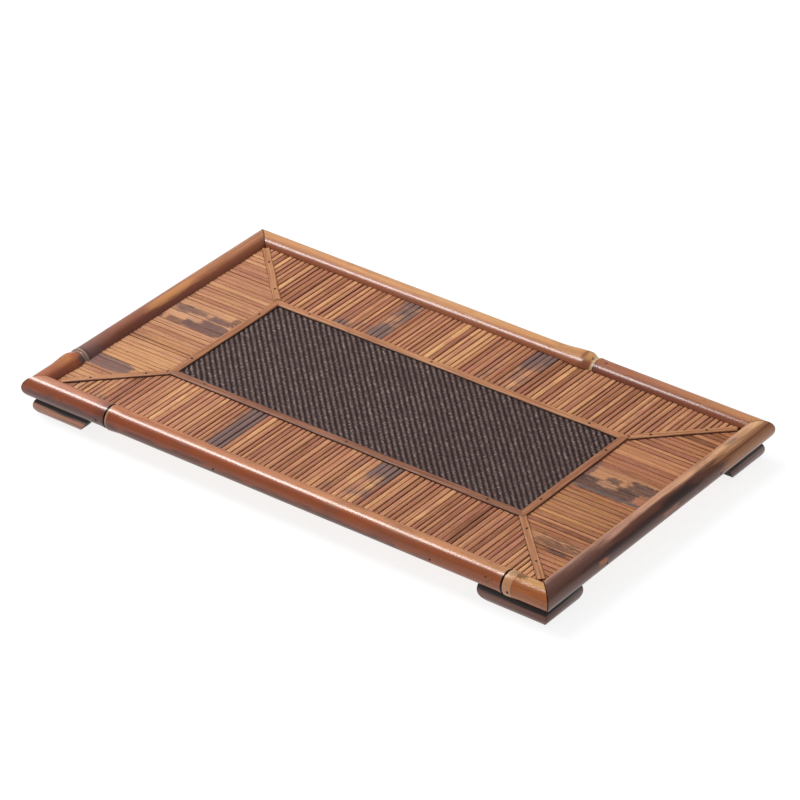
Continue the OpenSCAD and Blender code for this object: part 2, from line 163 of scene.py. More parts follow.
class Graph:
    """Adds and joins the nodes of one material or node group."""

    def __init__(self, tree: bpy.types.NodeTree) -> None:
        """Keeps the tree that the nodes go into.

        Args:
            tree: The material's or the group's node tree.
        """
        self.tree = tree

    def feed(self, socket: Socket, value: Any) -> None:
        """Joins a socket to an input, or sets the input's value.

        Args:
            socket: The input.
            value: An output socket or a plain value.
        """
        if isinstance(value, bpy.types.NodeSocket):
            self.tree.links.new(value, socket)
        else:
            socket.default_value = value

    def node(self, kind: str, inputs: dict[str, Any] | None = None, **settings: Any) -> Any:
        """Adds a node.

        Args:
            kind: The node's type.
            inputs: Sockets or values by the input's name.
            settings: The node's own properties.

        Returns:
            The new node.
        """
        made = self.tree.nodes.new(kind)
        for name, value in settings.items():
            setattr(made, name, value)
        for name, value in (inputs or {}).items():
            self.feed(made.inputs[name], value)
        return made

    def math(self, operation: str, *values: Any, clamp: bool = False) -> Socket:
        """Adds a Math node.

        Args:
            operation: The node's operation.
            values: Its inputs in order.
            clamp: Whether the result is kept between 0 and 1.

        Returns:
            The result's socket.
        """
        made = self.node("ShaderNodeMath", operation=operation, use_clamp=clamp)
        for socket, value in zip(made.inputs, values):
            self.feed(socket, value)
        return made.outputs[0]

    def vector(self, operation: str, first: Any, second: Any) -> Socket:
        """Adds a Vector Math node.

        Args:
            operation: The node's operation.
            first: Its first input.
            second: Its second input.

        Returns:
            The result's socket, a number for a length and a vector otherwise.
        """
        made = self.node("ShaderNodeVectorMath", operation=operation)
        self.feed(made.inputs[0], first)
        self.feed(made.inputs[1], second)
        return made.outputs["Value" if operation == "LENGTH" else "Vector"]

    def remap(self, value: Any, low: Any, high: Any, to_low: float = 0.0,
              to_high: float = 1.0) -> Socket:
        """Maps a range smoothly to another one.

        Args:
            value: What is mapped.
            low: Start of the old range.
            high: End of the old range.
            to_low: Start of the new range.
            to_high: End of the new range.

        Returns:
            The mapped value's socket.
        """
        made = self.node("ShaderNodeMapRange", {"Value": value, "From Min": low, "From Max": high,
                                                "To Min": to_low, "To Max": to_high},
                         interpolation_type="SMOOTHSTEP")
        return made.outputs[0]

    def mix(self, factor: Any, first: Any, second: Any, blend: str = "MIX") -> Socket:
        """Mixes two colours.

        Args:
            factor: Share of the second colour.
            first: The first colour.
            second: The second colour.
            blend: The node's blend type.

        Returns:
            The mixed colour's socket.
        """
        made = self.node("ShaderNodeMix", data_type="RGBA", blend_type=blend)
        for place, value in ((0, factor), (6, first), (7, second)):
            self.feed(made.inputs[place], value)
        return made.outputs[2]

    def ramp(self, value: Any, stops: Sequence[tuple[float, Colour]]) -> Socket:
        """Turns a value into a colour by a ramp.

        Args:
            value: Place on the ramp, 0 to 1.
            stops: Places and their colours, at least two, in rising order.

        Returns:
            The colour's socket.
        """
        made = self.node("ShaderNodeValToRGB", {"Fac": value})
        elements = made.color_ramp.elements
        for element, (place, shade) in zip((elements[0], elements[1]), (stops[0], stops[-1])):
            element.position = place
            element.color = shade
        for place, shade in stops[1:-1]:
            elements.new(place).color = shade
        return made.outputs["Color"]

    def cloud(self, vector: Socket, scale: Any, detail: float = 2.0, roughness: float = 0.5,
              distortion: float = 0.0) -> Socket:
        """Adds noise.

        Args:
            vector: Coordinates.
            scale: Size of the noise, per millimetre.
            detail: Number of finer layers.
            roughness: Weight of the finer layers.
            distortion: How far the noise is stirred.

        Returns:
            The noise's socket, about 0.3 to 0.7.
        """
        made = self.node("ShaderNodeTexNoise", {"Vector": vector, "Scale": scale,
                                                "Detail": detail, "Roughness": roughness,
                                                "Distortion": distortion})
        return made.outputs["Fac"]

    def attribute(self, name: str) -> Socket:
        """A number that the mesh carries at each vertex."""
        return self.node("ShaderNodeAttribute", attribute_name=name).outputs["Fac"]


class Effect:
    """A node group that several finishes share, built once and placed with each one's values."""

    title = "effect"
    takes: dict[str, Any] = {}
    gives: tuple[str, ...] = ()

    def __init__(self) -> None:
        """Builds the group with its named inputs and outputs."""
        self.group = bpy.data.node_groups.new(self.title, "ShaderNodeTree")
        for name, default in self.takes.items():
            kind = "NodeSocketVector" if isinstance(default, tuple) else "NodeSocketFloat"
            socket = self.group.interface.new_socket(name, in_out="INPUT", socket_type=kind)
            socket.default_value = default
        for name in self.gives:
            self.group.interface.new_socket(name, in_out="OUTPUT", socket_type="NodeSocketFloat")
        graph = Graph(self.group)
        taken = graph.node("NodeGroupInput").outputs
        given = graph.node("NodeGroupOutput").inputs
        for name, socket in self.wire(graph, taken).items():
            graph.feed(given[name], socket)

    def wire(self, graph: Graph, taken: Any) -> dict[str, Socket]:
        """Adds the group's own nodes.

        Args:
            graph: The group's graph.
            taken: The group's input sockets by name.

        Returns:
            The sockets that the group puts out, by name.
        """
        raise NotImplementedError

    def place(self, graph: Graph, values: dict[str, Any]) -> Any:
        """Places the group in a material.

        Args:
            graph: The material's graph.
            values: Sockets or values by the input's name.

        Returns:
            The placed group's outputs, by name.
        """
        made = graph.tree.nodes.new("ShaderNodeGroup")
        made.node_tree = self.group
        for name, value in values.items():
            graph.feed(made.inputs[name], value)
        return made.outputs


class Fibre(Effect):
    """Bamboo's fibres: long fine streaks along the first axis."""

    title = "bamboo fibre"
    takes = {"Vector": (0.0, 0.0, 0.0), "Along": 0.02, "Across": 1.0}
    gives = ("Streak", "Fine")

    def wire(self, graph: Graph, taken: Any) -> dict[str, Socket]:
        """Adds a coarse and a fine layer of stretched noise."""
        made = {}
        for name, finer, detail in (("Streak", 1.0, 3.0), ("Fine", 3.3, 2.0)):
            along = graph.math("MULTIPLY", taken["Along"], finer)
            across = graph.math("MULTIPLY", taken["Across"], finer)
            stretch = graph.node("ShaderNodeCombineXYZ", {"X": along, "Y": across, "Z": across})
            vector = graph.vector("MULTIPLY", taken["Vector"], stretch.outputs[0])
            made[name] = graph.remap(graph.cloud(vector, 1.0, detail, 0.6), 0.3, 0.7)
        return made


class Smoke(Effect):
    """Cloudy patches, as smoke and heat leave them on a culm."""

    title = "smoke patches"
    takes = {"Vector": (0.0, 0.0, 0.0), "Scale": 0.05, "Low": 0.45, "High": 0.6}
    gives = ("Mask",)

    def wire(self, graph: Graph, taken: Any) -> dict[str, Socket]:
        """Adds stirred noise between two levels."""
        cloud = graph.cloud(taken["Vector"], taken["Scale"], 5.0, 0.6, 0.7)
        return {"Mask": graph.remap(cloud, taken["Low"], taken["High"])}


class Specks(Effect):
    """Small round dark specks, sparse and uneven."""

    title = "specks"
    takes = {"Vector": (0.0, 0.0, 0.0), "Scale": 0.6, "Share": 0.1, "Size": 0.25}
    gives = ("Mask",)

    def wire(self, graph: Graph, taken: Any) -> dict[str, Socket]:
        """Adds one speck in a share of the cells of a Voronoi pattern."""
        cells = graph.node("ShaderNodeTexVoronoi", {"Vector": taken["Vector"],
                                                    "Scale": taken["Scale"]})
        pick = graph.node("ShaderNodeSeparateColor", {"Color": cells.outputs["Color"]})
        level = graph.math("SUBTRACT", 1.0, taken["Share"])
        chosen = graph.math("GREATER_THAN", pick.outputs[0], level)
        reach = graph.math("MULTIPLY", taken["Size"], pick.outputs[1])
        edge = graph.math("MULTIPLY", reach, 0.6)
        round_part = graph.remap(cells.outputs["Distance"], reach, edge)
        return {"Mask": graph.math("MULTIPLY", chosen, round_part)}


class Ring(Effect):
    """A ring round a culm, or a band across a strip."""

    title = "ring"
    takes = {"Along": 0.0, "Centre": 0.0, "Half": 1.0, "Soft": 0.3}
    gives = ("Mask",)

    def wire(self, graph: Graph, taken: Any) -> dict[str, Socket]:
        """Adds a band that fades at both sides."""
        away = graph.math("ABSOLUTE", graph.math("SUBTRACT", taken["Along"], taken["Centre"]))
        outer = graph.math("ADD", taken["Half"], taken["Soft"])
        inner = graph.math("SUBTRACT", taken["Half"], taken["Soft"])
        return {"Mask": graph.remap(away, outer, inner)}


class Spot(Effect):
    """One ragged spot at a place."""

    title = "spot"
    takes = {"Vector": (0.0, 0.0, 0.0), "Centre": (0.0, 0.0, 0.0), "Reach": (1.0, 1.0, 1.0),
             "Soft": 0.3, "Ragged": 1.0, "Grain": (0.3, 0.3, 0.3)}
    gives = ("Mask",)

    def wire(self, graph: Graph, taken: Any) -> dict[str, Socket]:
        """Adds a block with round corners, sized by the reach, whose edge follows noise."""
        away = graph.vector("SUBTRACT", taken["Vector"], taken["Centre"])
        scaled = graph.vector("DIVIDE", away, taken["Reach"])
        squared = graph.vector("LENGTH", graph.vector("MULTIPLY", scaled, scaled), (0.0, 0.0, 0.0))
        distance = graph.math("SQRT", squared)
        stretched = graph.vector("MULTIPLY", taken["Vector"], taken["Grain"])
        cloud = graph.math("SUBTRACT", graph.cloud(stretched, 1.0, 5.0, 0.62), 0.5)
        uneven = graph.math("MULTIPLY_ADD", cloud, taken["Ragged"], distance)
        outer = graph.math("ADD", 1.0, taken["Soft"])
        inner = graph.math("SUBTRACT", 1.0, taken["Soft"])
        return {"Mask": graph.remap(uneven, outer, inner)}


@dataclass(frozen=True)
class Effects:
    """The shared node groups."""

    fibre: Fibre = field(default_factory=Fibre)
    smoke: Smoke = field(default_factory=Smoke)
    specks: Specks = field(default_factory=Specks)
    ring: Ring = field(default_factory=Ring)
    spot: Spot = field(default_factory=Spot)


EFFECTS = Effects()


class Bearing(Enum):
    """How a long piece lies: its turn about Z, and whether its inner side is mirrored."""

    FRONT = (0.0, 1.0)
    BACK = (0.0, -1.0)
    LEFT = (-90.0, 1.0)
    RIGHT = (90.0, 1.0)
    RISING = (45.0, 1.0)
    FALLING = (-45.0, 1.0)

    @property
    def turn(self) -> float:
        """The turn about Z in radians."""
        return math.radians(self.value[0])

    @property
    def side(self) -> float:
        """1, or -1 where the inner side is mirrored."""
        return self.value[1]

    def matrix(self, centre: Vector) -> Matrix:
        """Takes a piece along X with its inner side to +Y to its place.

        Args:
            centre: Middle of the piece in millimetres.

        Returns:
            The piece's transform.
        """
        turned = Matrix.Rotation(self.turn, 4, "Z")
        return Matrix.Translation(centre) @ turned @ Matrix.Diagonal((1, self.side, 1, 1))


@dataclass(frozen=True)
class Band:
    """A coloured ring at a place along a culm, in millimetres."""

    at: float
    half: float
    soft: float
    shade: Colour
    strength: float = 1.0


@dataclass(frozen=True)
class Patch:
    """A ragged coloured spot in a piece's own millimetres."""

    centre: Point
    reach: Point
    shade: Colour
    strength: float = 1.0
    ragged: float = 1.0
    soft: float = 0.3
    grain: Point = (0.12, 0.3, 0.3)


class Surface:
    """A material under work: its graph, its shader and its coordinates in millimetres."""

    def __init__(self, name: str, bearing: Bearing = Bearing.FRONT,
                 centre: Point = (0.0, 0.0, 0.0)) -> None:
        """Starts the material.

        Args:
            name: The material's name.
            bearing: How the piece that wears it lies.
            centre: Middle of that piece in millimetres.
        """
        self.material = bpy.data.materials.new(name)
        self.material.use_nodes = True
        self.graph = Graph(self.material.node_tree)
        self.shader = self.material.node_tree.nodes["Principled BSDF"]
        coordinates = self.graph.node("ShaderNodeTexCoord").outputs["Object"]
        place = self.graph.node("ShaderNodeMapping", {
            "Vector": coordinates,
            "Location": tuple(c * MM for c in centre),
            "Rotation": (0.0, 0.0, bearing.turn),
            "Scale": (MM, bearing.side * MM, MM),
        }, vector_type="TEXTURE")
        self.local = place.outputs[0]
        self.tray = self.graph.node("ShaderNodeMapping", {
            "Vector": coordinates, "Scale": (MM, MM, MM)}, vector_type="TEXTURE").outputs[0]
        split = self.graph.node("ShaderNodeSeparateXYZ", {"Vector": self.local})
        self.along, self.side, self.up = split.outputs

    def fibre(self, along: float, across: float, vector: Socket | None = None) -> Any:
        """Places the fibre effect.

        Args:
            along: Streaks per millimetre along the piece.
            across: Streaks per millimetre across it.
            vector: Coordinates, the piece's own where left out.

        Returns:
            The effect's outputs.
        """
        return EFFECTS.fibre.place(self.graph, {
            "Vector": vector or self.local, "Along": along, "Across": across})

    def smoke(self, scale: float, low: float, high: float) -> Socket:
        """Places the smoke effect and returns its mask."""
        return EFFECTS.smoke.place(self.graph, {
            "Vector": self.local, "Scale": scale, "Low": low, "High": high})["Mask"]

    def specks(self, scale: float, share: float, size: float) -> Socket:
        """Places the specks effect and returns its mask."""
        return EFFECTS.specks.place(self.graph, {
            "Vector": self.local, "Scale": scale, "Share": share, "Size": size})["Mask"]

    def bands(self, base: Socket, bands: Sequence[Band]) -> Socket:
        """Paints rings over a colour.

        Args:
            base: The colour under them.
            bands: The rings in the order of painting.

        Returns:
            The painted colour.
        """
        for band in bands:
            mask = EFFECTS.ring.place(self.graph, {
                "Along": self.along, "Centre": band.at, "Half": band.half,
                "Soft": band.soft})["Mask"]
            base = self.graph.mix(self.graph.math("MULTIPLY", mask, band.strength), base,
                                  band.shade)
        return base

    def patches(self, base: Socket, patches: Sequence[Patch],
                vector: Socket | None = None) -> Socket:
        """Paints spots over a colour.

        Args:
            base: The colour under them.
            patches: The spots in the order of painting.
            vector: Coordinates of the spots, the piece's own where left out.

        Returns:
            The painted colour.
        """
        for patch in patches:
            mask = EFFECTS.spot.place(self.graph, {
                "Vector": vector or self.local, "Centre": patch.centre, "Reach": patch.reach,
                "Soft": patch.soft, "Ragged": patch.ragged, "Grain": patch.grain})["Mask"]
            base = self.graph.mix(self.graph.math("MULTIPLY", mask, patch.strength), base,
                                  patch.shade)
        return base

    def finish(self, base: Any, roughness: Any, height: Socket | None = None, depth: float = 0.1,
               coat: float = 0.0, coat_roughness: float = 0.1,
               gloss: float = 0.5) -> bpy.types.Material:
        """Joins the colour, roughness and relief to the shader.

        Args:
            base: The base colour.
            roughness: The roughness.
            height: Relief, 0 to 1.
            depth: Height of the relief in millimetres.
            coat: Weight of the varnish.
            coat_roughness: Roughness of the varnish.
            gloss: Level of the plain gloss, 0.5 as usual.

        Returns:
            The finished material.
        """
        self.graph.feed(self.shader.inputs["Base Color"], base)
        self.graph.feed(self.shader.inputs["Roughness"], roughness)
        self.shader.inputs["Specular IOR Level"].default_value = gloss
        self.shader.inputs["Coat Weight"].default_value = coat
        self.shader.inputs["Coat Roughness"].default_value = coat_roughness
        if height is not None:
            bump = self.graph.node("ShaderNodeBump", {"Height": height, "Distance": depth * MM,
                                                      "Strength": 1.0})
            self.graph.feed(self.shader.inputs["Normal"], bump.outputs[0])
        return self.material


@dataclass(frozen=True)
class CulmFinish:
    """Varnished skin of one culm, with its own shades, rings and stains, and painted shade on the
    side that the light misses.
    """

    name: str
    shades: tuple[tuple[float, Colour], ...]
    streaks: float
    dark: Colour
    # under and the weight after it: the colour of the painted shade on the side of the culm that
    # the light misses, and how much that side counts against the top.
    under: Colour
    painted_shade_side: float
    bands: tuple[Band, ...] = ()
    patches: tuple[Patch, ...] = ()
    speck_share: float = 0.04
    coat: float = 0.6

    def make(self, bearing: Bearing, centre: Point, length: float) -> bpy.types.Material:
        """Builds the material.

        Args:
            bearing: How the culm lies.
            centre: Middle of the culm's axis in millimetres.
            length: The culm's length.

        Returns:
            The material.
        """
        work = Surface(self.name, bearing, centre)
        graph = work.graph
        place = graph.node("ShaderNodeMapRange", {"Value": work.along, "From Min": -length / 2,
                                                  "From Max": length / 2}).outputs[0]
        stops = [(at / length + 0.5, shade) for at, shade in self.shades]
        base = graph.ramp(place, stops)
        # Painted shade: the side of the culm that the light misses is multiplied by the under
        # colour, with a cloudy edge.
        lean = graph.math("MULTIPLY_ADD", work.side, self.painted_shade_side,
                          graph.math("MULTIPLY", work.up, 0.86))
        cloudy = work.smoke(0.03, 0.5, 0.72)
        lean = graph.math("MULTIPLY_ADD", graph.math("SUBTRACT", cloudy, 0.5), 1.6, lean)
        below = graph.remap(lean, 6.5, 2.0)
        base = graph.mix(below, base, graph.mix(1.0, base, self.under, "MULTIPLY"))
        grain = work.fibre(0.012, 0.45)
        fine = work.fibre(0.03, 1.6)
        streak = graph.math("MULTIPLY", grain["Streak"], self.streaks)
        base = graph.mix(streak, base, self.dark)
        thin = graph.remap(fine["Streak"], 0.45, 0.9)
        base = graph.mix(graph.math("MULTIPLY", thin, self.streaks), base, self.dark)
        base = graph.mix(graph.math("MULTIPLY", cloudy, 0.4), base, self.dark)
        base = work.patches(base, self.patches)
        base = work.bands(base, self.bands)
        corner = graph.math("ADD", graph.math("ABSOLUTE", work.along), work.side)
        seam = EFFECTS.ring.place(graph, {"Along": corner, "Half": 0.7, "Soft": 0.5,
                                          "Centre": length / 2 - SIZES.culm_radius})["Mask"]
        base = graph.mix(graph.math("MULTIPLY", seam, 0.75), base, colour(44, 26, 20))
        specks = work.specks(0.35, self.speck_share, 0.3)
        base = graph.mix(graph.math("MULTIPLY", specks, 0.7), base, colour(40, 26, 22))
        roughness = graph.remap(cloudy, 0.0, 1.0, 0.28, 0.4)
        relief = graph.math("ADD", graph.math("MULTIPLY", fine["Fine"], 0.4), grain["Streak"])
        return work.finish(base, roughness, relief, 0.02, self.coat, 0.21, gloss=0.35)


@dataclass(frozen=True)
class CutFinish:
    """Sawn or split bamboo: paler, with fibre ends, or dark where it was scorched."""

    name: str
    base: Colour
    dark: Colour

    def make(self) -> bpy.types.Material:
        """Builds the material."""
        work = Surface(self.name)
        dots = work.specks(1.4, 0.6, 0.5)
        cloudy = work.smoke(0.25, 0.4, 0.65)
        shade = work.graph.math("ADD", work.graph.math("MULTIPLY", dots, 0.5),
                                work.graph.math("MULTIPLY", cloudy, 0.5), clamp=True)
        base = work.graph.mix(shade, self.base, self.dark)
        return work.finish(base, 0.7, shade, 0.05)


@dataclass(frozen=True)
class SlatFinish:
    """Split slats, each with its own tone, with painted shade in the grooves and stained in places.
    """

    name: str
    tones: tuple[tuple[float, Colour], ...]
    patches: tuple[Patch, ...] = ()
    # groove and the value after it: the colour of the painted shade between the slats, and the
    # least share of it on a slat.
    groove: Colour = colour(50, 20, 10)
    least_groove_shade: float = 0.75
    rosy: float = 0.45
    soot: Colour = colour(122, 98, 94)

    def make(self, bearing: Bearing) -> bpy.types.Material:
        """Builds the material.

        Args:
            bearing: How the slats lie.

        Returns:
            The material.
        """
        along_y = bearing in (Bearing.FRONT, Bearing.BACK)
        work = Surface(self.name, Bearing.RIGHT if along_y else Bearing.FRONT)
        graph = work.graph
        seed = graph.math("MULTIPLY", graph.attribute("seed"), 900.0)
        shift = graph.node("ShaderNodeCombineXYZ", {"X": seed, "Y": seed, "Z": seed}).outputs[0]
        own = graph.vector("ADD", work.local, shift)
        grain = work.fibre(0.012, 0.5, own)
        fine = work.fibre(0.03, 1.5, own)
        tone = graph.math("MULTIPLY_ADD", graph.math("SUBTRACT", grain["Streak"], 0.5), 0.5,
                          graph.attribute("tone"), clamp=True)
        base = graph.ramp(tone, self.tones)
        rosy = graph.remap(graph.cloud(own, 0.04, 3.0, 0.5), 0.45, 0.62)
        base = graph.mix(graph.math("MULTIPLY", rosy, self.rosy), base, colour(160, 96, 82))
        base = work.patches(base, self.patches, work.tray)
        lines = graph.remap(fine["Streak"], 0.6, 0.95)
        base = graph.mix(graph.math("MULTIPLY", lines, 0.4), base, colour(122, 66, 36))
        scuffs = graph.remap(fine["Fine"], 0.55, 0.9)
        base = graph.mix(graph.math("MULTIPLY", scuffs, 0.2), base, colour(224, 178, 136))
        cloudy = graph.math("SUBTRACT", graph.cloud(work.tray, 0.07, 4.0, 0.55, 0.4), 0.5)
        soot = graph.math("MULTIPLY_ADD", cloudy, 1.1, graph.attribute("soot"))
        soot = graph.remap(soot, 0.25, 0.8, 0.0, 0.92)
        smoky = graph.mix(graph.math("MULTIPLY", fine["Streak"], 0.55), self.soot,
                          colour(66, 50, 50))
        base = graph.mix(soot, base, smoky)
        # Painted shade in the grooves: the slats' rounded edges go towards the groove colour lower
        # down, more on some slats than on others.
        rise = graph.remap(graph.attribute("rise"), 0.05, 0.9, 1.0, 0.0)
        depth = graph.remap(graph.cloud(own, 0.02, 1.0), 0.35, 0.6, self.least_groove_shade, 1.0)
        base = graph.mix(graph.math("MULTIPLY", rise, depth), base, self.groove)
        specks = work.specks(0.3, 0.05, 0.3)
        base = graph.mix(graph.math("MULTIPLY", specks, 0.6), base, colour(70, 38, 26))
        roughness = graph.remap(grain["Streak"], 0.0, 1.0, 0.5, 0.68)
        relief = graph.math("ADD", graph.math("MULTIPLY", fine["Fine"], 0.3), fine["Streak"])
        return work.finish(base, roughness, relief, 0.06, gloss=0.3)


@dataclass(frozen=True)
class ThreadFinish:
    """Dark fibre threads of the mat, with painted shade where they dive and paler stitches where
    wear shows.
    """

    name: str
    base: Colour
    pale: Colour
    dark: Colour

    def make(self, bearing: Bearing) -> bpy.types.Material:
        """Builds the material for threads that run along X or, turned, along Y."""
        work = Surface(self.name, bearing)
        graph = work.graph
        grain = work.fibre(0.3, 0.9)
        base = graph.mix(graph.math("MULTIPLY", grain["Streak"], 0.6), self.base, self.dark)
        drawn = graph.vector("MULTIPLY", work.local, (0.35, 0.7, 0.7))
        wear_and_shade = graph.remap(graph.cloud(drawn, 1.0, 1.0, 0.5), 0.54, 0.64)
        base = graph.mix(graph.math("MULTIPLY", wear_and_shade, 0.8), base, self.pale)
        sunk = graph.remap(graph.cloud(drawn, 0.8, 1.0, 0.5), 0.5, 0.36)
        base = graph.mix(graph.math("MULTIPLY", sunk, 0.7), base, self.dark)
        faded = work.smoke(0.02, 0.4, 0.7)
        base = graph.mix(graph.math("MULTIPLY", faded, 0.2), base, colour(96, 66, 62))
        flecks = work.specks(0.4, 0.3, 0.5)
        base = graph.mix(graph.math("MULTIPLY", flecks, 0.5), base, self.pale)
        # Painted shade where a thread dives under the cross threads, from the rise that the weave
        # gives each crossing.
        rise = graph.remap(graph.attribute("rise"), 0.4, 0.75)
        base = graph.mix(rise, self.dark, base)
        return work.finish(base, 0.6, grain["Fine"], 0.08, gloss=0.35)


@dataclass(frozen=True)
class StripFinish:
    """Thin flat bamboo strip with painted shade on its rounded edges, which leaves its top lighter.
    """

    name: str
    base: Colour = colour(190, 136, 96)
    warm: Colour = colour(150, 94, 60)
    # dark: the colour of the fine streaks and of the painted shade on the edges.
    dark: Colour = colour(60, 28, 18)

    def make(self, bearing: Bearing) -> bpy.types.Material:
        """Builds the material.

        Args:
            bearing: How the strip lies.

        Returns:
            The material.
        """
        work = Surface(self.name, bearing)
        graph = work.graph
        grain = work.fibre(0.02, 0.6)
        fine = work.fibre(0.05, 2.2)
        base = graph.mix(grain["Streak"], self.base, self.warm)
        base = graph.mix(graph.math("MULTIPLY", graph.remap(fine["Streak"], 0.6, 1.0), 0.35), base,
                         self.dark)
        cloudy = work.smoke(0.05, 0.5, 0.7)
        base = graph.mix(graph.math("MULTIPLY", cloudy, 0.35), base, self.warm)
        # Painted shade on the strip's rounded edges, darker lower down.
        rise = graph.remap(graph.attribute("rise"), 0.2, 1.0)
        base = graph.mix(rise, self.dark, base)
        specks = work.specks(0.3, 0.08, 0.3)
        base = graph.mix(graph.math("MULTIPLY", specks, 0.7), base, colour(56, 36, 28))
        return work.finish(base, 0.48, fine["Streak"], 0.05, gloss=0.4)


@dataclass(frozen=True)
class FootFinish:
    """Dark varnished skin of a foot with a dark band along its top, partly scorched skin and partly
    painted shade under the rail.
    """

    name: str
    base: Colour
    warm: Colour
    # band and the height after it: the colour of the dark top band and of the fine streaks, and
    # where the band starts.
    band: Colour
    scorch_and_shade_from: float = 9.0

    def make(self, bearing: Bearing) -> bpy.types.Material:
        """Builds the material.

        Args:
            bearing: How the foot's leg lies.

        Returns:
            The material.
        """
        work = Surface(self.name, bearing)
        graph = work.graph
        grain = work.fibre(0.015, 0.5)
        fine = work.fibre(0.04, 1.8)
        base = graph.mix(grain["Streak"], self.base, self.warm)
        base = graph.mix(graph.math("MULTIPLY", graph.remap(fine["Streak"], 0.6, 1.0), 0.4), base,
                         self.band)
        # The dark band along the top: partly scorched skin, partly painted shade where the rail
        # overhangs the foot.
        uneven = graph.math("MULTIPLY_ADD", graph.math("SUBTRACT", grain["Streak"], 0.5), 1.1,
                            work.up)
        mask = graph.remap(uneven, self.scorch_and_shade_from - 0.5, self.scorch_and_shade_from + 0.4)
        base = graph.mix(mask, base, self.band)
        return work.finish(base, graph.remap(fine["Streak"], 0.0, 1.0, 0.26, 0.4),
                           fine["Streak"], 0.04, 0.5, 0.1)


@dataclass(frozen=True)
class NailFinish:
    """Dulled dark steel."""

    name: str = "nail steel"

    def make(self) -> bpy.types.Material:
        """Builds the material."""
        work = Surface(self.name)
        dull = work.smoke(0.9, 0.4, 0.65)
        base = work.graph.mix(dull, colour(66, 56, 52), colour(38, 26, 22))
        work.shader.inputs["Metallic"].default_value = 0.55
        return work.finish(base, work.graph.remap(dull, 0.0, 1.0, 0.38, 0.6), dull, 0.05)


@dataclass(frozen=True)
class BoardFinish:
    """Plain bamboo board of glued laths."""

    name: str = "bamboo board"
    lath: float = 0.11

    def make(self) -> bpy.types.Material:
        """Builds the material."""
        work = Surface(self.name)
        graph = work.graph
        grain = work.fibre(0.01, 0.8)
        cells = graph.math("FLOOR", graph.math("MULTIPLY", work.side, self.lath))
        tone = graph.node("ShaderNodeTexWhiteNoise", {"W": cells},
                          noise_dimensions="1D").outputs["Value"]
        base = graph.mix(tone, colour(196, 156, 108), colour(176, 132, 86))
        base = graph.mix(graph.math("MULTIPLY", grain["Streak"], 0.5), base, colour(140, 98, 62))
        return work.finish(base, 0.6, grain["Fine"], 0.05)


class Shop:
    """Turns finished meshes into pieces of the tray."""

    @staticmethod
    def hand_over(mesh: bmesh.types.BMesh, name: str, materials: Sequence[bpy.types.Material],
                  slot: str, nodes: Sequence[str] = (), sharp: float = 35.0) -> bpy.types.Object:
        """Makes the object, rides it on the tray and hides the frame's nodes that it stands for.

        Args:
            mesh: The mesh in millimetres, which is used up.
            name: The piece's name.
            materials: Its materials in the order of the faces' numbers.
            slot: Not used.
            nodes: The frame's nodes that it stands for.
            sharp: Angle in degrees from which an edge is sharp.

        Returns:
            The piece.
        """
        bmesh.ops.scale(mesh, vec=(MM, MM, MM), verts=mesh.verts)
        data = bpy.data.meshes.new(name)
        mesh.to_mesh(data)
        mesh.free()
        for material in materials:
            data.materials.append(material)
        data.polygons.foreach_set("use_smooth", [True] * len(data.polygons))
        data.set_sharp_from_angle(angle=math.radians(sharp))
        piece = bpy.data.objects.new(name, data)
        bpy.context.scene.collection.objects.link(piece)
        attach(piece, BODY)
        if nodes:
            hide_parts(*nodes)
        LOG.info("%s: %d faces", name, len(data.polygons))
        return piece

    @staticmethod
    def keep(node: str, material: bpy.types.Material) -> None:
        """Gives a node of the frame its material.

        Args:
            node: The node's name.
            material: The material.
        """
        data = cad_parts[node].data
        data.materials.clear()
        data.materials.append(material)
        LOG.info("%s: kept, %s", node, material.name)


def slice_off(mesh: bmesh.types.BMesh, point: Sequence[float], normal: Sequence[float],
              material: int) -> None:
    """Cuts off what lies beyond a plane and closes the cut with a flat face.

    Args:
        mesh: The mesh.
        point: A point of the plane.
        normal: The plane's normal, towards what goes.
        material: Number of the material of the cut face.
    """
    geometry = mesh.verts[:] + mesh.edges[:] + mesh.faces[:]
    bmesh.ops.bisect_plane(mesh, geom=geometry, dist=0.0001, plane_co=Vector(point),
                           plane_no=Vector(normal), clear_outer=True)
    rim = [edge for edge in mesh.edges if edge.is_boundary]
    if rim:
        for face in bmesh.ops.contextual_create(mesh, geom=rim)["faces"]:
            face.material_index = material


def solids_of(node: str) -> list[tuple[Vector, Vector]]:
    """Finds the separate solids of a node of the frame.

    Args:
        node: The node's name.

    Returns:
        The lowest and highest corner of each solid, in millimetres.
    """
    mesh = bmesh.new()
    mesh.from_mesh(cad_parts[node].data)
    bmesh.ops.remove_doubles(mesh, verts=mesh.verts, dist=1e-6)
    seen: set[bmesh.types.BMVert] = set()
    boxes = []
    for start in mesh.verts:
        if start in seen:
            continue
        seen.add(start)
        island = [start]
        for vertex in island:
            for edge in vertex.link_edges:
                other = edge.other_vert(vertex)
                if other not in seen:
                    seen.add(other)
                    island.append(other)
        low = Vector([min(v.co[i] for v in island) for i in range(3)]) / MM
        high = Vector([max(v.co[i] for v in island) for i in range(3)]) / MM
        boxes.append((low, high))
    mesh.free()
    return sorted(boxes, key=lambda box: (round(box[0].x, 3), round(box[0].y, 3), box[0].z))


